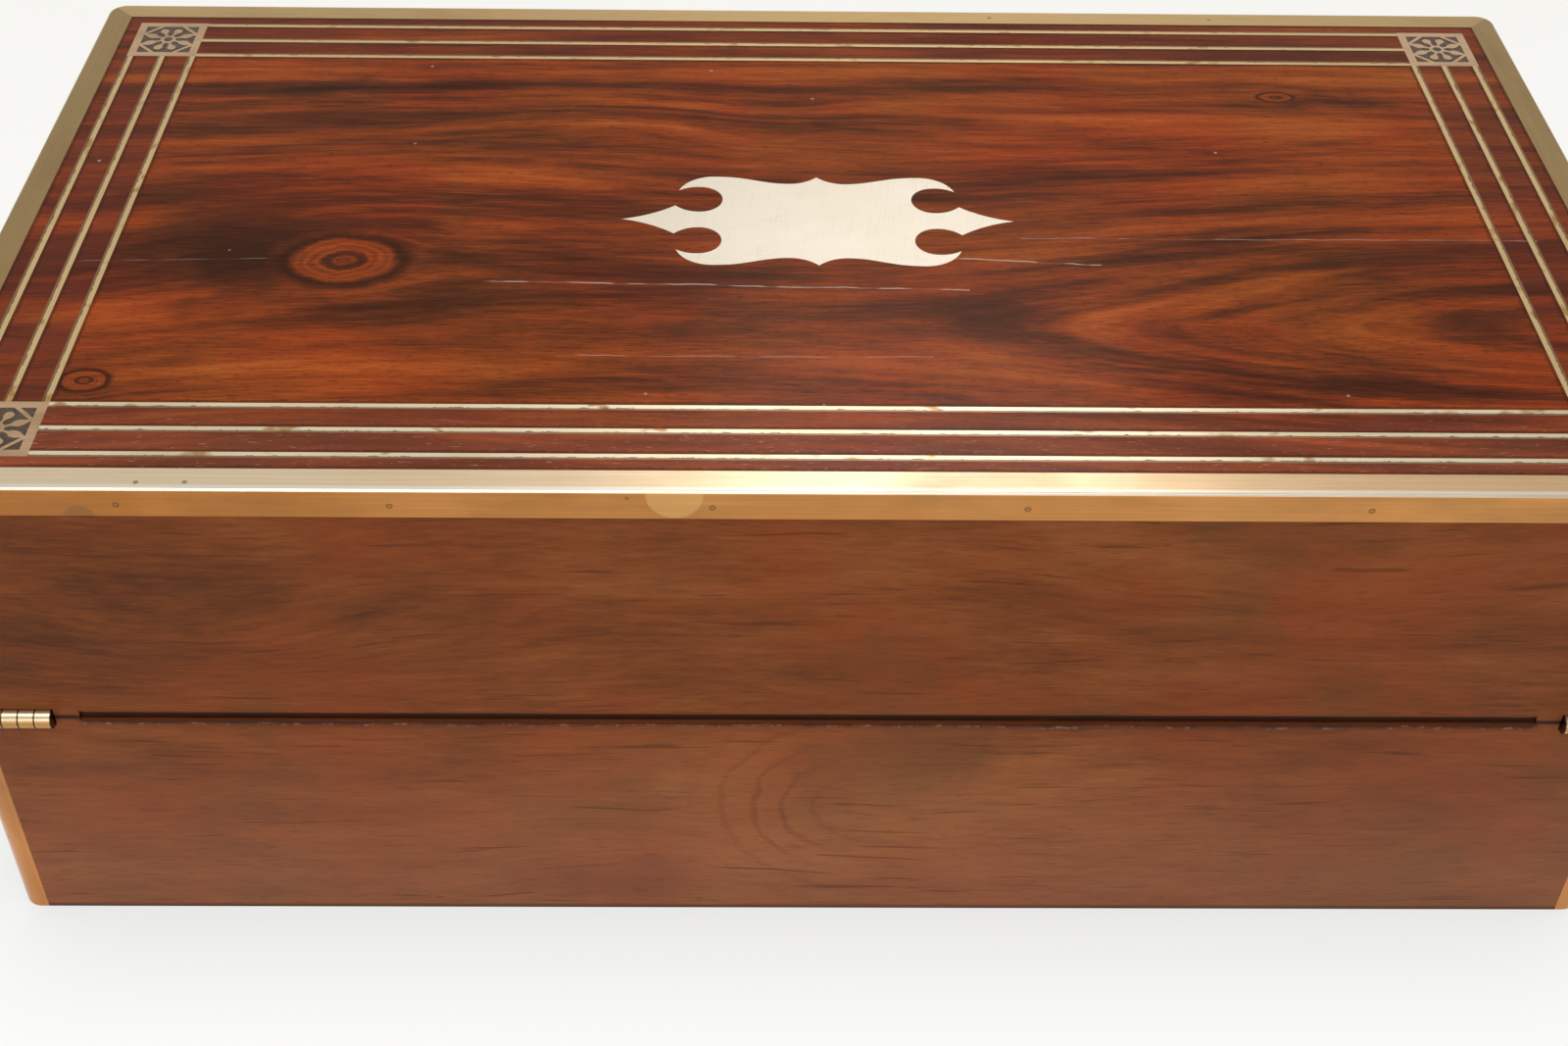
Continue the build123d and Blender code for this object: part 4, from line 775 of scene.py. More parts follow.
        # black oil and dust between the knuckles, the same distances from the middle on either hand
        start, pitch = joints
        out = add_node(tree, "Math", add_node(tree, "SeparateXYZ", place["Object"]).outputs[0], operation="ABSOLUTE")
        past = add_node(tree, "Math", out.outputs[0], start, operation="SUBTRACT").outputs[0]
        gap = add_node(tree, "Math", past, pitch / 2, operation="PINGPONG").outputs[0]
        gap = add_node(tree, "MapRange", gap, 0.34 * MM, 0.14 * MM, 0.0, 0.92).outputs[0]
        metal = blend_colour(tree, gap, metal, linear("#1E140A"))
    tree.links.new(metal, shader.inputs["Base Color"])
    dull = add_node(tree, "MapRange", cloud, 0.0, 1.0, roughness, roughness + 0.14).outputs[0]
    tree.links.new(dull, shader.inputs["Roughness"])
    height = add_node(tree, "Math", nick, -4.0, drawn, operation="MULTIPLY_ADD").outputs[0]
    bump = add_node(tree, "Bump", 0.5, 0.012 * MM, sockets={"Height": height})
    tree.links.new(bump.outputs[0], shader.inputs["Normal"])
    return material


def string_brass(name, along, pale):
    """Thin rolled brass let in flush and scraped level: pale, with brown stains where glue and polish crept over it."""
    material, tree, shader = new_material(name, Metallic=0.75, Roughness=0.34)
    place = add_node(tree, "TexCoord").outputs["Object"]
    across = "y" if along == "x" else "x"
    stain = streaks(tree, place, along, across, 9, 5, 2.0, 0.5, 0.60, 0.70)
    patch = streaks(tree, place, along, across, 40, 30, 2.0, 0.5, 0.45, 0.65)
    share = add_node(tree, "Math", stain, 0.85, operation="MULTIPLY").outputs[0]
    metal = blend_colour(tree, share, pale, colour("string_stain"))
    patch_share = add_node(tree, "Math", patch, 0.30, operation="MULTIPLY").outputs[0]
    metal = blend_colour(tree, patch_share, metal, linear("#C2AE7C"))
    # wood dust and glue have crept unevenly over both edges of each line
    sides = [add_node(tree, "Math", out, operation="ABSOLUTE").outputs[0]
             for out in add_node(tree, "SeparateXYZ", place).outputs[:2]]
    in_x = add_node(tree, "Math", HALF_LENGTH, sides[0], operation="SUBTRACT").outputs[0]
    in_y = add_node(tree, "Math", HALF_DEPTH, sides[1], operation="SUBTRACT").outputs[0]
    inward = in_y if along == "x" else in_x
    middle = None
    for offset in STRING_OFFSETS:
        off = add_node(tree, "Math", inward, offset, operation="SUBTRACT").outputs[0]
        off = add_node(tree, "Math", off, operation="ABSOLUTE").outputs[0]
        middle = off if middle is None else add_node(tree, "Math", middle, off, operation="MINIMUM").outputs[0]
    chips = add_node(tree, "TexNoise", place, None, 260.0, 3.0, 0.7).outputs[0]
    limit = add_node(tree, "MapRange", chips, 0.30, 0.48, STRING_WIDTH * 0.40, STRING_WIDTH * 0.60).outputs[0]
    crept = add_node(tree, "Math", middle, limit, operation="GREATER_THAN").outputs[0]
    crept = add_node(tree, "Math", crept, 0.8, operation="MULTIPLY").outputs[0]
    metal = blend_colour(tree, crept, metal, linear("#6B402A"))
    tree.links.new(metal, shader.inputs["Base Color"])
    scraped = streaks(tree, place, along, across, 14, 0.4, 2.0, 0.5)
    bump = add_node(tree, "Bump", 0.5, 0.01 * MM, sockets={"Height": scraped})
    tree.links.new(bump.outputs[0], shader.inputs["Normal"])
    return material


def white_metal():
    """German silver, a white copper alloy, rubbed to a satin: cream, with fine marks of cleaning in all directions."""
    material, tree, shader = new_material("german_silver_satin", Metallic=0.7, Roughness=0.42)
    place = add_node(tree, "TexCoord").outputs["Object"]
    soft = add_node(tree, "TexNoise", place, None, 30.0, 3.0, 0.5).outputs[0]
    soft = add_node(tree, "MapRange", soft, 0.35, 0.7, 0.0, 0.35).outputs[0]
    metal = blend_colour(tree, soft, colour("plate_cream"), linear("#D8CFB8"))
    height = None
    for turn, width in ((12, 0.25), (97, 0.3), (-35, 0.4)):
        turned = add_node(tree, "Mapping", place, None, (0.0, 0.0, radians(turn))).outputs[0]
        rubbed = streaks(tree, turned, "x", "y", 16, width, 1.0, 0.5, 0.62, 0.72)
        fade = add_node(tree, "Math", rubbed, 0.16, operation="MULTIPLY").outputs[0]
        metal = blend_colour(tree, fade, metal, linear("#A89C80"))
        height = rubbed if height is None else add_node(tree, "Math", height, rubbed).outputs[0]
    tree.links.new(metal, shader.inputs["Base Color"])
    bump = add_node(tree, "Bump", 0.4, -0.008 * MM, sockets={"Height": height})
    tree.links.new(bump.outputs[0], shader.inputs["Normal"])
    return material


# ---------------------------------------------------------------- operators
class SLOPE_OT_lid_board(bpy.types.Operator):
    """French-polished rosewood of the lid's top board"""

    bl_idname = "slope.lid_board"
    bl_label = "Lid board"

    def execute(self, context):
        dress(lid_rosewood(), "lid_top_board")
        return {"FINISHED"}


class SLOPE_OT_walls(bpy.types.Operator):
    """Waxed rosewood of the eight side walls"""

    bl_idname = "slope.walls"
    bl_label = "Walls"

    def execute(self, context):
        long_wood = wall_rosewood("rosewood_waxed_long_walls", "x")
        short_wood = wall_rosewood("rosewood_waxed_short_walls", "y")
        for half in ("base", "lid"):
            dress(long_wood, f"{half}_front_wall", f"{half}_back_wall")
            dress(short_wood, f"{half}_left_wall", f"{half}_right_wall")
        return {"FINISHED"}


BACK_PINS = (189.8, 116.0, 28.5, -57.2, -151.1)
BACK_MARKS = (
    *[("patch", x, 172.5, 0.7, "#7A5026", 0.40) for x in BACK_PINS],
    *[("ring", x, 172.5, 0.75, "#3E2A16", 0.60) for x in BACK_PINS],
    ("patch", 200.3, 167.8, 4.3, "#7A5A33", 0.50),
    ("patch", 38.8, 176.6, 7.8, "#E2B06A", 0.50),
)


class SLOPE_OT_binding(bpy.types.Operator):
    """Worn brass of the lid's edging and of the upright corner straps"""

    bl_idname = "slope.binding"
    bl_label = "Brass binding"

    def execute(self, context):
        warm, pale, tarnish = colour("brass_warm"), colour("brass_top_wear_and_sheen"), colour("brass_tarnish")
        # painted light: the same rolled brass takes a pale top on the hinge side and duller tops on the lock side and
        # the ends
        dress(worn_brass("brass_rolled_back_edge", "x", warm, pale, tarnish, marks=BACK_MARKS, fade=(0.2, -0.2, 0.0, 0.5), worn=True), "lid_edge_back")
        dress(worn_brass("brass_rolled_front_edge", "x", warm, colour("brass_dull"), tarnish), "lid_edge_front")
        dress(worn_brass("brass_rolled_end_edges", "y", warm, colour("brass_olive"), tarnish), "lid_edge_left", "lid_edge_right")
        strap = worn_brass("brass_rolled_straps", "z", linear("#C48040"), warm, tarnish, 0.30, spotted=0.6, leg=STRAP_WIDTH)
        dress(strap, "base_corner_straps", "lid_corner_straps")
        return {"FINISHED"}


class SLOPE_OT_inlay(bpy.types.Operator):
    """Pale brass lines, pierced corner plates and the dark mastic in their piercings"""

    bl_idname = "slope.inlay"
    bl_label = "Brass inlay"

    def execute(self, context):
        # painted reflection: the hinge side's lines are given the paler colour, the others the brass's own browner
        # colour
        pale, brown = colour("string_sheen_pale"), colour("string_brown")
        dress(string_brass("brass_scraped_hinge_side_lines", "x", pale), "stringing_back")
        dress(string_brass("brass_scraped_lock_side_lines", "x", brown), "stringing_front")
        dress(string_brass("brass_scraped_end_lines", "y", brown), "stringing_left", "stringing_right")
        fret = worn_brass(
            "brass_sawn_fretwork", "x", colour("fret_brass"), colour("fret_brass"), colour("brass_tarnish"), 0.3, spotted=0.6
        )
        mastic, tree, shader = new_material("mastic_dark", Roughness=0.4)
        place = add_node(tree, "TexCoord").outputs["Object"]
        grit = add_node(tree, "TexNoise", place, None, 900.0, 3.0, 0.6).outputs[0]
        grit = add_node(tree, "MapRange", grit, 0.4, 0.7, 0.0, 0.5).outputs[0]
        tree.links.new(blend_colour(tree, grit, colour("mastic"), linear("#7C6850")), shader.inputs["Base Color"])
        for corner in ("front_left", "front_right", "back_left", "back_right"):
            plate = f"corner_plate_{corner}"
            dress(fret, plate)
            low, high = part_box(plate)
            self.fill(f"mastic_{corner}", low, high, mastic)
        return {"FINISHED"}

    def fill(self, name, low, high, material):
        """Slightly sunken bed that shows through the piercings of one plate."""
        sunk, steps = 0.15 * MM, 12
        bed = bmesh.new()
        inset = 0.4 * MM
        rows = []
        for i in range(steps + 1):
            row = []
            for j in range(steps + 1):
                x = low.x + inset + (high.x - low.x - 2 * inset) * i / steps
                y = low.y + inset + (high.y - low.y - 2 * inset) * j / steps
                dip = 0.06 * MM * sin(i * 2.1) * sin(j * 1.7)
                row.append(bed.verts.new((x, y, high.z - sunk + dip)))
            rows.append(row)
        for i in range(steps):
            for j in range(steps):
                bed.faces.new((rows[i][j], rows[i + 1][j], rows[i + 1][j + 1], rows[i][j + 1]))
        rim = [edge for edge in bed.edges if edge.is_boundary]
        grown = bmesh.ops.extrude_edge_only(bed, edges=rim)["geom"]
        for vertex in grown:
            if isinstance(vertex, bmesh.types.BMVert):
                vertex.co.z = low.z + 0.02 * MM
        bmesh.ops.holes_fill(bed, edges=[edge for edge in bed.edges if edge.is_boundary])
        new_piece(name, bed, material, "lid")


class SLOPE_OT_name_plate(bpy.types.Operator):
    """Bare satin name plate"""

    bl_idname = "slope.name_plate"
    bl_label = "Name plate"

    def execute(self, context):
        dress(white_metal(), "name_plate")
        return {"FINISHED"}


class SLOPE_OT_fittings(bpy.types.Operator):
    """Hinges, lock, keyhole and screws"""

    bl_idname = "slope.fittings"
    bl_label = "Hinges and lock"

    def execute(self, context):
        warm, tarnish = colour("brass_warm"), colour("brass_tarnish")
        near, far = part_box("right_hinge_pin")
        joints = (near.x, (far.x - near.x) / KNUCKLES)
        # painted reflection: the knuckles' tops are nearly white, as the light they reflect
        hinge = worn_brass("brass_cast_hinges", "x", linear("#C28B4A"), linear("#EEDFC0"), tarnish, 0.22, joints=joints)
        lock = worn_brass("brass_filed_lock", "x", warm, linear("#D3B273"), tarnish, 0.36)
        screw = worn_brass("brass_turned_screws", "x", warm, linear("#D8B878"), tarnish, 0.3)
        for hand in ("left", "right"):
            dress(hinge, f"{hand}_hinge_base_leaf", f"{hand}_hinge_lid_leaf", f"{hand}_hinge_pin")
        dress(lock, "lock_case", "lock_link_plate", "keyhole_escutcheon")
        dress(screw, "hinge_base_screws", "hinge_lid_screws", "lock_screws", "link_plate_screws")
        steel, tree, shader = new_material("steel_filed", Metallic=1.0, Roughness=0.35)
        place = add_node(tree, "TexCoord").outputs["Object"]
        filed = streaks(tree, place, "x", "z", 10, 0.25, 2.0, 0.6)
        tree.links.new(blend_colour(tree, filed, colour("steel"), linear("#7E7B76")), shader.inputs["Base Color"])
        bump = add_node(tree, "Bump", 0.5, 0.02 * MM, sockets={"Height": filed})
        tree.links.new(bump.outputs[0], shader.inputs["Normal"])
        dress(steel, "lock_bolt")
        return {"FINISHED"}


class SLOPE_OT_joinery(bpy.types.Operator):
    """Mahogany of the flaps, rails, ledges, gallery and bottom"""

    bl_idname = "slope.joinery"
    bl_label = "Inner joinery"

    def execute(self, context):
        dark, light = colour("inner_dark"), colour("inner_light")
        long_wood = mahogany("mahogany_waxed_long", "x", "y", dark, light, 0.4)
        upright = mahogany("mahogany_waxed_upright", "x", "z", dark, light, 0.4)
        short_wood = mahogany("mahogany_waxed_short", "y", "z", dark, light, 0.4)
        bottom = mahogany("mahogany_oiled_bottom", "x", "y", linear("#3F2616"), linear("#7B5032"), 0.6)
        for half in ("base", "lid"):
            dress(long_wood, f"{half}_flap", f"{half}_hinge_rail")
            dress(short_wood, f"{half}_flap_ledges")
        dress(upright, "gallery_partition")
        dress(long_wood, "gallery_floor", "pen_tray")
        dress(short_wood, "gallery_divider_left", "gallery_divider_right", "pen_tray_rests")
        dress(bottom, "base_bottom_board")
        return {"FINISHED"}


def leather_material(name, extent, sizes):
    """Skiver, sheepskin split thin, dyed, glued down and tooled in gold: fine pebble, with paler clouds."""
    material, tree, shader = new_material(name, Roughness=0.46, Specular_IOR_Level=0.4)
    half_width, near, far = extent
    place = add_node(tree, "UVMap").outputs[0]
    split = add_node(tree, "SeparateXYZ", place).outputs
    cells = add_node(tree, "TexVoronoi", place, None, 900.0).outputs[0]
    cloud = add_node(tree, "TexNoise", place, None, 14.0, 4.0, 0.6).outputs[0]
    cloud = add_node(tree, "MapRange", cloud, 0.35, 0.7, 0.0, 0.5).outputs[0]
    hide = blend_colour(tree, cloud, colour("leather"), linear("#3C5638"))
    pit = add_node(tree, "MapRange", cells, 0.0, 0.5, 0.0, 0.3).outputs[0]
    hide = blend_colour(tree, pit, linear("#16261A"), hide, "MIX")
    hide = blend_colour(tree, 0.75, hide, blend_colour(tree, cloud, colour("leather"), linear("#3C5638")))
    side = add_node(tree, "Math", split[0], operation="ABSOLUTE").outputs[0]
    side = add_node(tree, "Math", half_width, side, operation="SUBTRACT").outputs[0]
    lower = add_node(tree, "Math", split[1], near, operation="SUBTRACT").outputs[0]
    upper = add_node(tree, "Math", far, split[1], operation="SUBTRACT").outputs[0]
    edge = add_node(tree, "Math", lower, upper, operation="MINIMUM").outputs[0]
    edge = add_node(tree, "Math", edge, side, operation="MINIMUM").outputs[0]
    rubbed = add_node(tree, "TexNoise", place, None, 300.0, 3.0, 0.7).outputs[0]
    leaf = add_node(tree, "MapRange", rubbed, 0.32, 0.42, 0.25, 1.0).outputs[0]
    gilt = None
    for inset in (sizes.tool_inset, sizes.tool_inset + sizes.tool_gap):
        line = add_node(tree, "Math", edge, inset, sizes.tool_width / 2, operation="COMPARE").outputs[0]
        gilt = line if gilt is None else add_node(tree, "Math", gilt, line, operation="MAXIMUM").outputs[0]
    # a small diamond stamp repeats along the border, between the two lines
    middle = sizes.tool_inset + sizes.tool_gap / 2
    stamps = None
    for axis in (0, 1):
        step = add_node(tree, "Math", split[axis], 1 / (4.0 * MM), operation="MULTIPLY").outputs[0]
        saw = add_node(tree, "Math", step, operation="FRACT").outputs[0]
        saw = add_node(tree, "Math", saw, 0.5, operation="SUBTRACT").outputs[0]
        saw = add_node(tree, "Math", saw, operation="ABSOLUTE").outputs[0]
        saw = add_node(tree, "Math", saw, 4.0 * MM, operation="MULTIPLY").outputs[0]
        off = add_node(tree, "Math", edge, middle, operation="SUBTRACT").outputs[0]
        off = add_node(tree, "Math", off, operation="ABSOLUTE").outputs[0]
        reach = add_node(tree, "Math", saw, off, operation="ADD").outputs[0]
        stamp = add_node(tree, "Math", reach, 0.8 * MM, operation="LESS_THAN").outputs[0]
        stamps = stamp if stamps is None else add_node(tree, "Math", stamps, stamp, operation="MAXIMUM").outputs[0]
    gilt = add_node(tree, "Math", gilt, stamps, operation="MAXIMUM").outputs[0]
    gilt = add_node(tree, "Math", gilt, leaf, operation="MULTIPLY").outputs[0]
    skin = blend_colour(tree, gilt, hide, colour("gilt"))
    tree.links.new(skin, shader.inputs["Base Color"])
    metal = add_node(tree, "Math", gilt, 0.8, operation="MULTIPLY").outputs[0]
    tree.links.new(metal, shader.inputs["Metallic"])
    rough = add_node(tree, "MapRange", cloud, 0.0, 0.5, 0.40, 0.55).outputs[0]
    tree.links.new(rough, shader.inputs["Roughness"])
    bump = add_node(tree, "Bump", 0.5, 0.05 * MM, sockets={"Height": cells})
    tree.links.new(bump.outputs[0], shader.inputs["Normal"])
    return material


def spread(start, end, count):
    """Evenly spaced values, both ends included."""
    return [start + (end - start) * i / count for i in range(count + 1)]


class SLOPE_OT_leather(bpy.types.Operator):
    """One tooled leather per half: it covers the hinge rail and the flap, with a shallow crease between them"""

    bl_idname = "slope.leather"
    bl_label = "Writing leather"

    def execute(self, context):
        sizes = context.scene.slope_sizes
        for half in ("base", "lid"):
            self.cover(half, sizes)
        return {"FINISHED"}

    def cover(self, half, sizes):
        rail, flap = f"{half}_rail_leather", f"{half}_flap_leather"
        near, rail_end = seam_extent(half, rail)[:2]
        flap_start, far, top, bottom = seam_extent(half, flap)
        half_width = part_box(flap)[1].x
        material = leather_material(f"leather_skiver_{half}", (half_width, flap_start, far), sizes)
        grooves, flat = {}, 0.0
        for inset in (sizes.tool_inset, sizes.tool_inset + sizes.tool_gap):
            for shift in (-1.0, 0.0, 1.0):
                grooves[inset + shift * sizes.tool_width / 2] = 0.14 * MM if shift == 0 else 0.03 * MM
        columns = [(-half_width, 0.25 * MM), (-half_width + 0.5 * MM, 0.05 * MM)]
        columns += [(-half_width + inset, depth) for inset, depth in sorted(grooves.items())]
        columns += [(x, flat) for x in spread(-half_width + 20 * MM, half_width - 20 * MM, 40)]
        columns += [(half_width - inset, depth) for inset, depth in sorted(grooves.items(), reverse=True)]
        columns += [(half_width - 0.5 * MM, 0.05 * MM), (half_width, 0.25 * MM)]
        rows = [(near, 0.2 * MM), (near + 0.5 * MM, flat)]
        fold = (rail_end + flap_start) / 2
        rows += [(s, flat) for s in spread(near + 3 * MM, rail_end - 1.2 * MM, 3)]
        rows += [(fold + i * 0.2 * MM, 0.1 * MM * (1 - abs(i) / 5)) for i in range(-4, 5)]
        rows += [(flap_start + inset, depth) for inset, depth in sorted(grooves.items())]
        rows += [(s, flat) for s in spread(flap_start + 20 * MM, far - 20 * MM, 20)]
        rows += [(far - inset, depth) for inset, depth in sorted(grooves.items(), reverse=True)]
        rows += [(far - 0.5 * MM, 0.05 * MM), (far, 0.25 * MM)]

        skin = bmesh.new()
        uv = skin.loops.layers.uv.new("UVMap")
        flat_place = {}
        upper, lower = [], []
        for along, row_dip in rows:
            above, below = [], []
            for x, column_dip in columns:
                on_border = sizes.tool_inset - sizes.tool_width <= min(x + half_width, half_width - x)
                inside = sizes.tool_inset - sizes.tool_width <= min(along - flap_start, far - along)
                dip = max(row_dip if on_border or row_dip > 0.15 * MM or along < flap_start else 0, 0)
                dip = max(dip, column_dip if inside or column_dip > 0.15 * MM else 0)
                above.append(skin.verts.new(seam_point(half, x, along, top + dip)))
                below.append(skin.verts.new(seam_point(half, x, along, bottom)))
                flat_place[above[-1]] = flat_place[below[-1]] = (x, along)
            upper.append(above)
            lower.append(below)
        last_row, last_column = len(rows) - 1, len(columns) - 1
        for i in range(last_row):
            for j in range(last_column):
                skin.faces.new((upper[i][j], upper[i + 1][j], upper[i + 1][j + 1], upper[i][j + 1]))
                skin.faces.new((lower[i][j], lower[i][j + 1], lower[i + 1][j + 1], lower[i + 1][j]))
        for i in range(last_row):
            for j in (0, last_column):
                skin.faces.new((upper[i][j], upper[i + 1][j], lower[i + 1][j], lower[i][j]))
        for j in range(last_column):
            for i in (0, last_row):
                skin.faces.new((upper[i][j], upper[i][j + 1], lower[i][j + 1], lower[i][j]))
        for face in skin.faces:
            for loop in face.loops:
                loop[uv].uv = flat_place[loop.vert]
        piece = new_piece(f"{half}_leather", skin, material, None)
        smooth(piece)
        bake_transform(piece)
        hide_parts(rail, flap)
        self.tab(half, far, top, sizes, material)

    def tab(self, half, far, top, sizes, material):
        """Doubled leather tab near the flap's free edge, with a low loop for a finger nail."""
        width, length, thick = sizes.tab_width, sizes.tab_length, 0.5 * MM
        strip = bmesh.new()
        uv = strip.loops.layers.uv.new("UVMap")
        rings = []
        steps = 16
        for i in range(steps + 1):
            share = i / steps
            along = far - 1 * MM - length + length * share
            loop_height = 0.75 * MM * max(0.0, sin(pi * min(1.0, share / 0.55))) if share < 0.55 else 0.0
            half_width = width / 2
            if share < 0.12:
                half_width *= 0.75 + 0.25 * share / 0.12
            if share > 0.88:
                half_width *= 0.75 + 0.25 * (1 - share) / 0.12
            ring = []
            for x, lift in ((-half_width, 0), (-half_width * 0.94, thick), (half_width * 0.94, thick), (half_width, 0)):
                ring.append(strip.verts.new(seam_point(half, x, along, top - loop_height - lift)))
            rings.append(ring)
        for i in range(steps):
            for j in range(4):
                k = (j + 1) % 4
                strip.faces.new((rings[i][j], rings[i + 1][j], rings[i + 1][k], rings[i][k]))
        strip.faces.new(rings[0])
        strip.faces.new(list(reversed(rings[-1])))
        for face in strip.faces:
            for loop in face.loops:
                loop[uv].uv = (loop.vert.co.x, 0.12 + loop.vert.co.y * 0.1)
        piece = new_piece(f"{half}_flap_tab", strip, material, f"{half}_flap")
        smooth(piece, 50)


class SLOPE_OT_bottles(bpy.types.Operator):
    """Glass ink bottles, their brass caps and the ink left in them"""

    bl_idname = "slope.bottles"
    bl_label = "Ink bottles"

    def execute(self, context):
        sizes = context.scene.slope_sizes
        # pressed soda-lime glass: clear, faintly green, with soft ripples from the mould
        glass, tree, shader = new_material(
            "soda_glass_pressed", Roughness=0.04, Transmission_Weight=1.0, IOR=1.5, Base_Color=linear("#E6F0EA")
        )
        place = add_node(tree, "TexCoord").outputs["Object"]
        ripple = add_node(tree, "TexNoise", place, None, 110.0, 2.0, 0.5).outputs[0]
        bump = add_node(tree, "Bump", 0.4, 0.15 * MM, sockets={"Height": ripple})
        tree.links.new(bump.outputs[0], shader.inputs["Normal"])
        cap = worn_brass(
            "brass_turned_caps", "x", colour("brass_warm"), colour("brass_top_wear_and_sheen"), colour("brass_tarnish"), 0.28
        )
        # iron-gall ink: nearly black, blue where it is thin
        ink, tree, shader = new_material("ink_iron_gall", Roughness=0.12)
        place = add_node(tree, "TexCoord").outputs["Object"]
        film = add_node(tree, "TexNoise", place, None, 60.0, 2.0, 0.5).outputs[0]
        tree.links.new(blend_colour(tree, film, colour("ink"), linear("#1E2438")), shader.inputs["Base Color"])
        for hand in ("left", "right"):
            dress(glass, f"inkwell_{hand}")
            dress(cap, f"inkwell_cap_{hand}")
            low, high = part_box(f"inkwell_{hand}")
            self.pool(hand, (low + high) / 2, low.z + 4.1 * MM, sizes.ink_depth, ink)
        return {"FINISHED"}

    def pool(self, hand, centre, floor, depth, material):
        """Ink in the bottle's round well, climbing a little up its wall."""
        radius, segments = 20.8 * MM, 48
        profile = [(0.0, 0.0), (radius, 0.0), (radius, depth + 0.9 * MM), (radius - 0.5 * MM, depth + 0.35 * MM)]
        profile += [(radius - 1.6 * MM, depth + 0.05 * MM), (radius - 3.5 * MM, depth), (0.0, depth)]
        body = bmesh.new()
        rings = []
        for reach, height in profile:
            if reach == 0.0:
                rings.append([body.verts.new((centre.x, centre.y, floor + height))])
                continue
            turns = [2 * pi * k / segments for k in range(segments)]
            ring = [(centre.x + reach * cos(t), centre.y + reach * sin(t), floor + height) for t in turns]
            rings.append([body.verts.new(corner) for corner in ring])
        for low_ring, high_ring in zip(rings, rings[1:]):
            for k in range(segments):
                n = (k + 1) % segments
                if len(low_ring) == 1:
                    body.faces.new((low_ring[0], high_ring[n], high_ring[k]))
                elif len(high_ring) == 1:
                    body.faces.new((low_ring[k], low_ring[n], high_ring[0]))
                else:
                    body.faces.new((low_ring[k], low_ring[n], high_ring[n], high_ring[k]))
        smooth(new_piece(f"ink_{hand}", body, material, "base"))


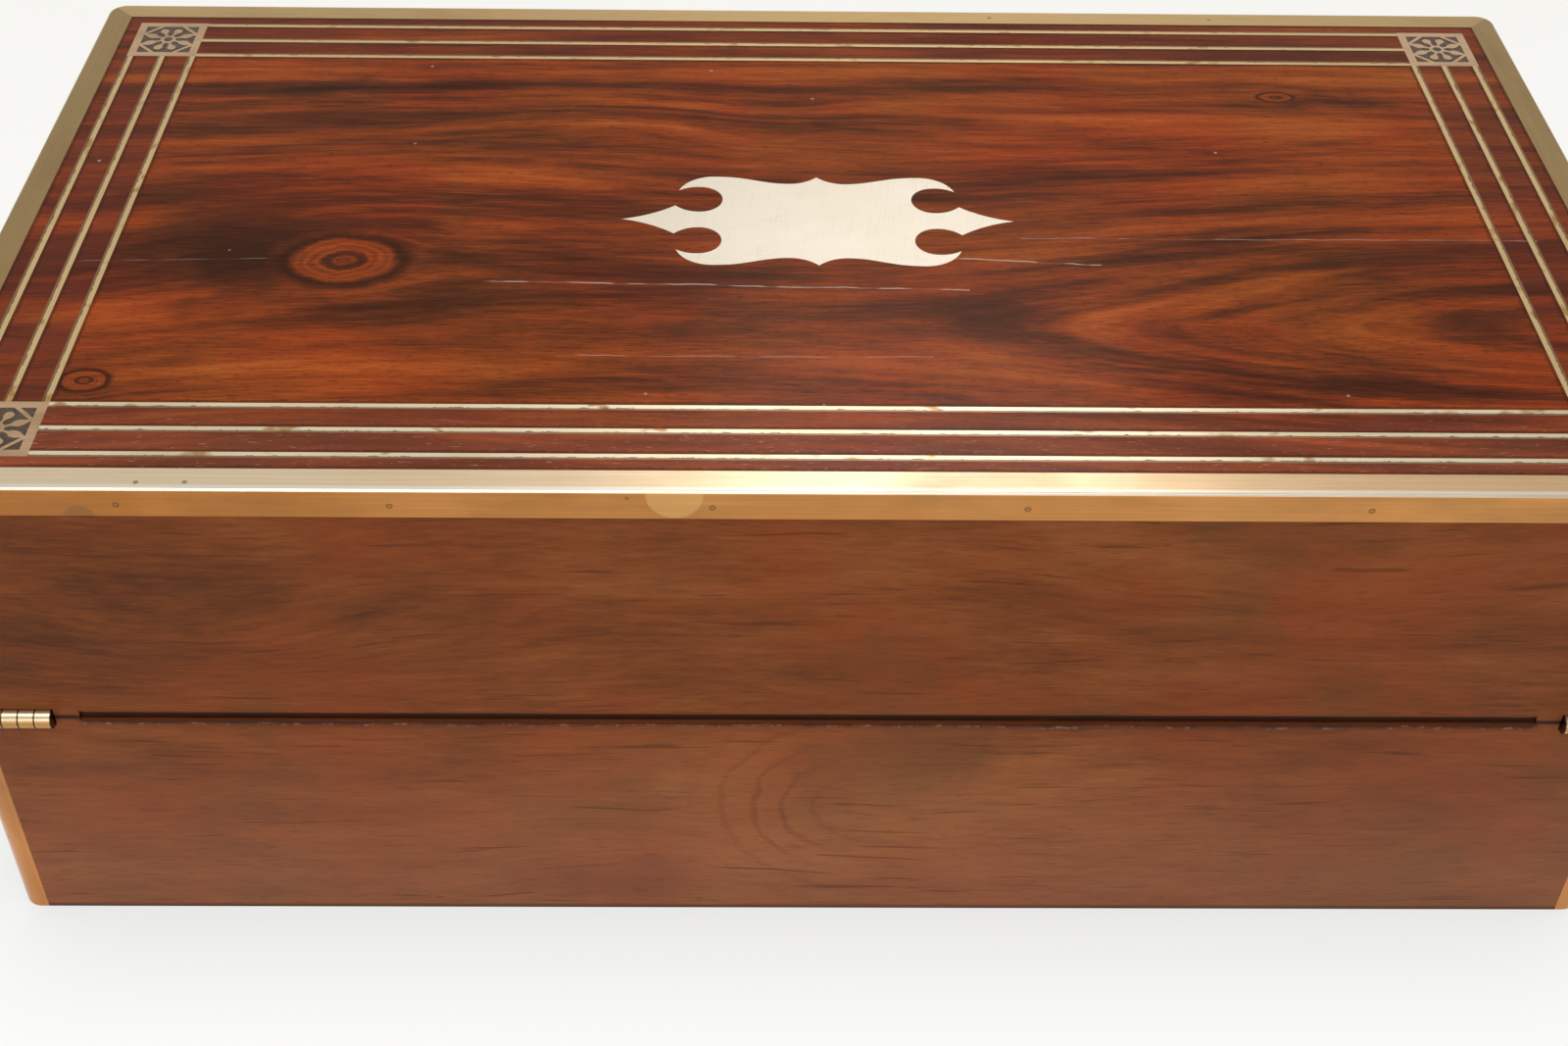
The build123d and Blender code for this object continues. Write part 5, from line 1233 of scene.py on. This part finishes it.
class SLOPE_OT_stage(bpy.types.Operator):
    """Pale floor that sweeps up into a backdrop, soft lamps and the camera"""

    bl_idname = "slope.stage"
    bl_label = "Studio"

    def execute(self, context):
        studio = context.scene.slope_studio
        self.sweep()
        self.lamps(context.scene, studio)
        self.camera(context.scene, studio)
        context.scene.view_settings.view_transform = "Standard"
        return {"FINISHED"}

    def sweep(self):
        """Round floor with a cove and a low wall, all one surface."""
        reach, cove, wall = 3.0, 0.7, 1.7
        profile = [(radius, 0.0) for radius in spread(0.0, reach, 12)]
        profile += [(reach + cove * sin(t), cove * (1 - cos(t))) for t in spread(0.0, pi / 2, 12)[1:]]
        profile += [(reach + cove, cove + (wall - cove) * k / 4) for k in range(1, 5)]
        segments = 72
        floor = bmesh.new()
        rings = []
        for radius, height in profile:
            if radius == 0:
                rings.append([floor.verts.new((0, 0, FOOT))])
                continue
            turns = [2 * pi * k / segments for k in range(segments)]
            ring = [(radius * cos(t), radius * sin(t), FOOT + height) for t in turns]
            rings.append([floor.verts.new(corner) for corner in ring])
        for inner, outer in zip(rings, rings[1:]):
            for k in range(segments):
                n = (k + 1) % segments
                corners = (inner[0], outer[k], outer[n]) if len(inner) == 1 else (inner[k], outer[k], outer[n], inner[n])
                floor.faces.new(corners)
        # seamless white paper: matt, and white to the camera and in reflections but for the slope's shadow
        paper, tree, shader = new_material("paper_white_seamless", Roughness=0.9, Specular_IOR_Level=0.0)
        shader.inputs["Base Color"].default_value = linear("#E9E8E6")
        seen = add_node(tree, "LightPath").outputs
        direct = add_node(tree, "Math", seen["Is Camera Ray"], seen["Is Glossy Ray"], operation="MAXIMUM").outputs[0]
        direct = add_node(tree, "Math", direct, seen["Is Transmission Ray"], operation="MAXIMUM").outputs[0]
        lit = add_node(tree, "Math", direct, 0.92, operation="MULTIPLY").outputs[0]
        # painted shadow: beside the slope's foot the paper's glowing white is dimmed by ambient occlusion, as a contact
        # shadow
        open_sky = add_node(tree, "AmbientOcclusion", samples=8, sockets={"Distance": 0.06}).outputs["AO"]
        shade = add_node(tree, "MapRange", open_sky, 0.4, 1.0, 0.80, 1.0).outputs[0]
        # painted shade: the paper's white turns a little darker and warmer towards the far side
        ground = add_node(tree, "SeparateXYZ", add_node(tree, "TexCoord").outputs["Object"]).outputs[1]
        beyond = add_node(tree, "MapRange", ground, 0.1, -0.7, 0.0, 1.0).outputs[0]
        tint = blend_colour(tree, beyond, (1.0, 1.0, 0.99, 1.0), linear("#F8F7F2"))
        white = add_node(tree, "VectorMath", tint, sockets={3: shade}, operation="SCALE").outputs[0]
        glow = add_node(tree, "Emission", white, 1.0).outputs[0]
        mixed = add_node(tree, "MixShader", lit, shader.outputs[0], glow).outputs[0]
        tree.links.new(mixed, tree.nodes["Material Output"].inputs["Surface"])
        piece = new_piece("studio_floor", floor, paper, None)
        smooth(piece, 60)

    def lamps(self, scene, studio):
        """Large lamp above, a smaller one beyond the box that glints on the brass, and a fill beside the camera."""
        target = Vector((0, 0, LID_TOP / 2))
        lamps = (
            ("overhead_lamp", (0.35, 0.45, 1.9), (1.5, 1.2), studio.overhead_power, "#FFFBF4"),
            ("far_lamp", (-0.13, -0.94, 1.08), (0.40, 0.20), studio.far_power, "#FFF8F0"),
            ("far_softbox", (0.0, -1.7, 1.75), (3.0, 1.0), studio.softbox_power, "#FFF8EE"),
            ("fill_lamp", (0.3, 1.75, 0.95), (1.0, 0.8), studio.fill_power, "#FFF3E2"),
        )
        for name, place, size, power, tint in lamps:
            light = bpy.data.lights.new(name, "AREA")
            light.shape, light.size, light.size_y = "RECTANGLE", size[0], size[1]
            light.energy, light.color = power, linear(tint)[:3]
            lamp = bpy.data.objects.new(name, light)
            scene.collection.objects.link(lamp)
            lamp.location = place
            lamp.rotation_mode = "QUATERNION"
            lamp.rotation_quaternion = (target - Vector(place)).to_track_quat("-Z", "Y")
        world = bpy.data.worlds.new("studio_room")
        world.use_nodes = True
        background = world.node_tree.nodes["Background"]
        background.inputs["Color"].default_value = linear("#FFFCF7")
        background.inputs["Strength"].default_value = studio.world_level
        scene.world = world

    def camera(self, scene, studio):
        """Camera above the hinge side, as near as the photograph was taken from, so the ends run out of the picture."""
        camera = bpy.data.objects.new("camera", bpy.data.cameras.new("camera"))
        scene.collection.objects.link(camera)
        camera.data.sensor_width = 36.0
        camera.data.lens = studio.lens
        camera.data.clip_start, camera.data.clip_end = 0.01, 50.0
        camera.location = Vector((16.3, 561.6, 540.8)) * MM
        heading, pitch = studio.camera_heading, studio.camera_pitch
        forward = Vector((-sin(heading) * cos(pitch), -cos(heading) * cos(pitch), -sin(pitch)))
        camera.rotation_mode = "QUATERNION"
        camera.rotation_quaternion = forward.to_track_quat("-Z", "Y") @ Quaternion((0, 0, 1), studio.camera_roll)
        scene.camera = camera


PIECES = (
    SLOPE_OT_lid_board,
    SLOPE_OT_walls,
    SLOPE_OT_binding,
    SLOPE_OT_inlay,
    SLOPE_OT_name_plate,
    SLOPE_OT_fittings,
    SLOPE_OT_joinery,
    SLOPE_OT_leather,
    SLOPE_OT_bottles,
    SLOPE_OT_stage,
)


class SLOPE_PT_panel(bpy.types.Panel):
    """Lists the slope's groups of pieces and its settings"""

    bl_idname = "SLOPE_PT_panel"
    bl_label = "Writing slope"
    bl_space_type = "VIEW_3D"
    bl_region_type = "UI"
    bl_category = "Slope"

    def draw(self, context):
        for operator in PIECES:
            self.layout.operator(operator.bl_idname)
        for settings in ("slope_colours", "slope_sizes", "slope_studio"):
            group = getattr(context.scene, settings)
            for key in group.bl_rna.properties.keys():
                if key not in ("rna_type", "name"):
                    self.layout.prop(group, key)


GROUPS = {"slope_colours": SlopeColours, "slope_sizes": SlopeSizes, "slope_studio": SlopeStudio}


def register():
    """Registers the classes and the scene's three groups of settings."""
    for made in (*GROUPS.values(), *PIECES, SLOPE_PT_panel):
        bpy.utils.register_class(made)
    for name, group in GROUPS.items():
        setattr(bpy.types.Scene, name, bpy.props.PointerProperty(type=group))


def unregister():
    """Takes the settings and the classes away again."""
    for name in GROUPS:
        delattr(bpy.types.Scene, name)
    for made in reversed((*GROUPS.values(), *PIECES, SLOPE_PT_panel)):
        bpy.utils.unregister_class(made)


def main():
    """Builds every piece and the studio."""
    register()
    for operator in PIECES:
        group, name = operator.bl_idname.split(".")
        getattr(getattr(bpy.ops, group), name)()


if __name__ == "__main__":
    main()
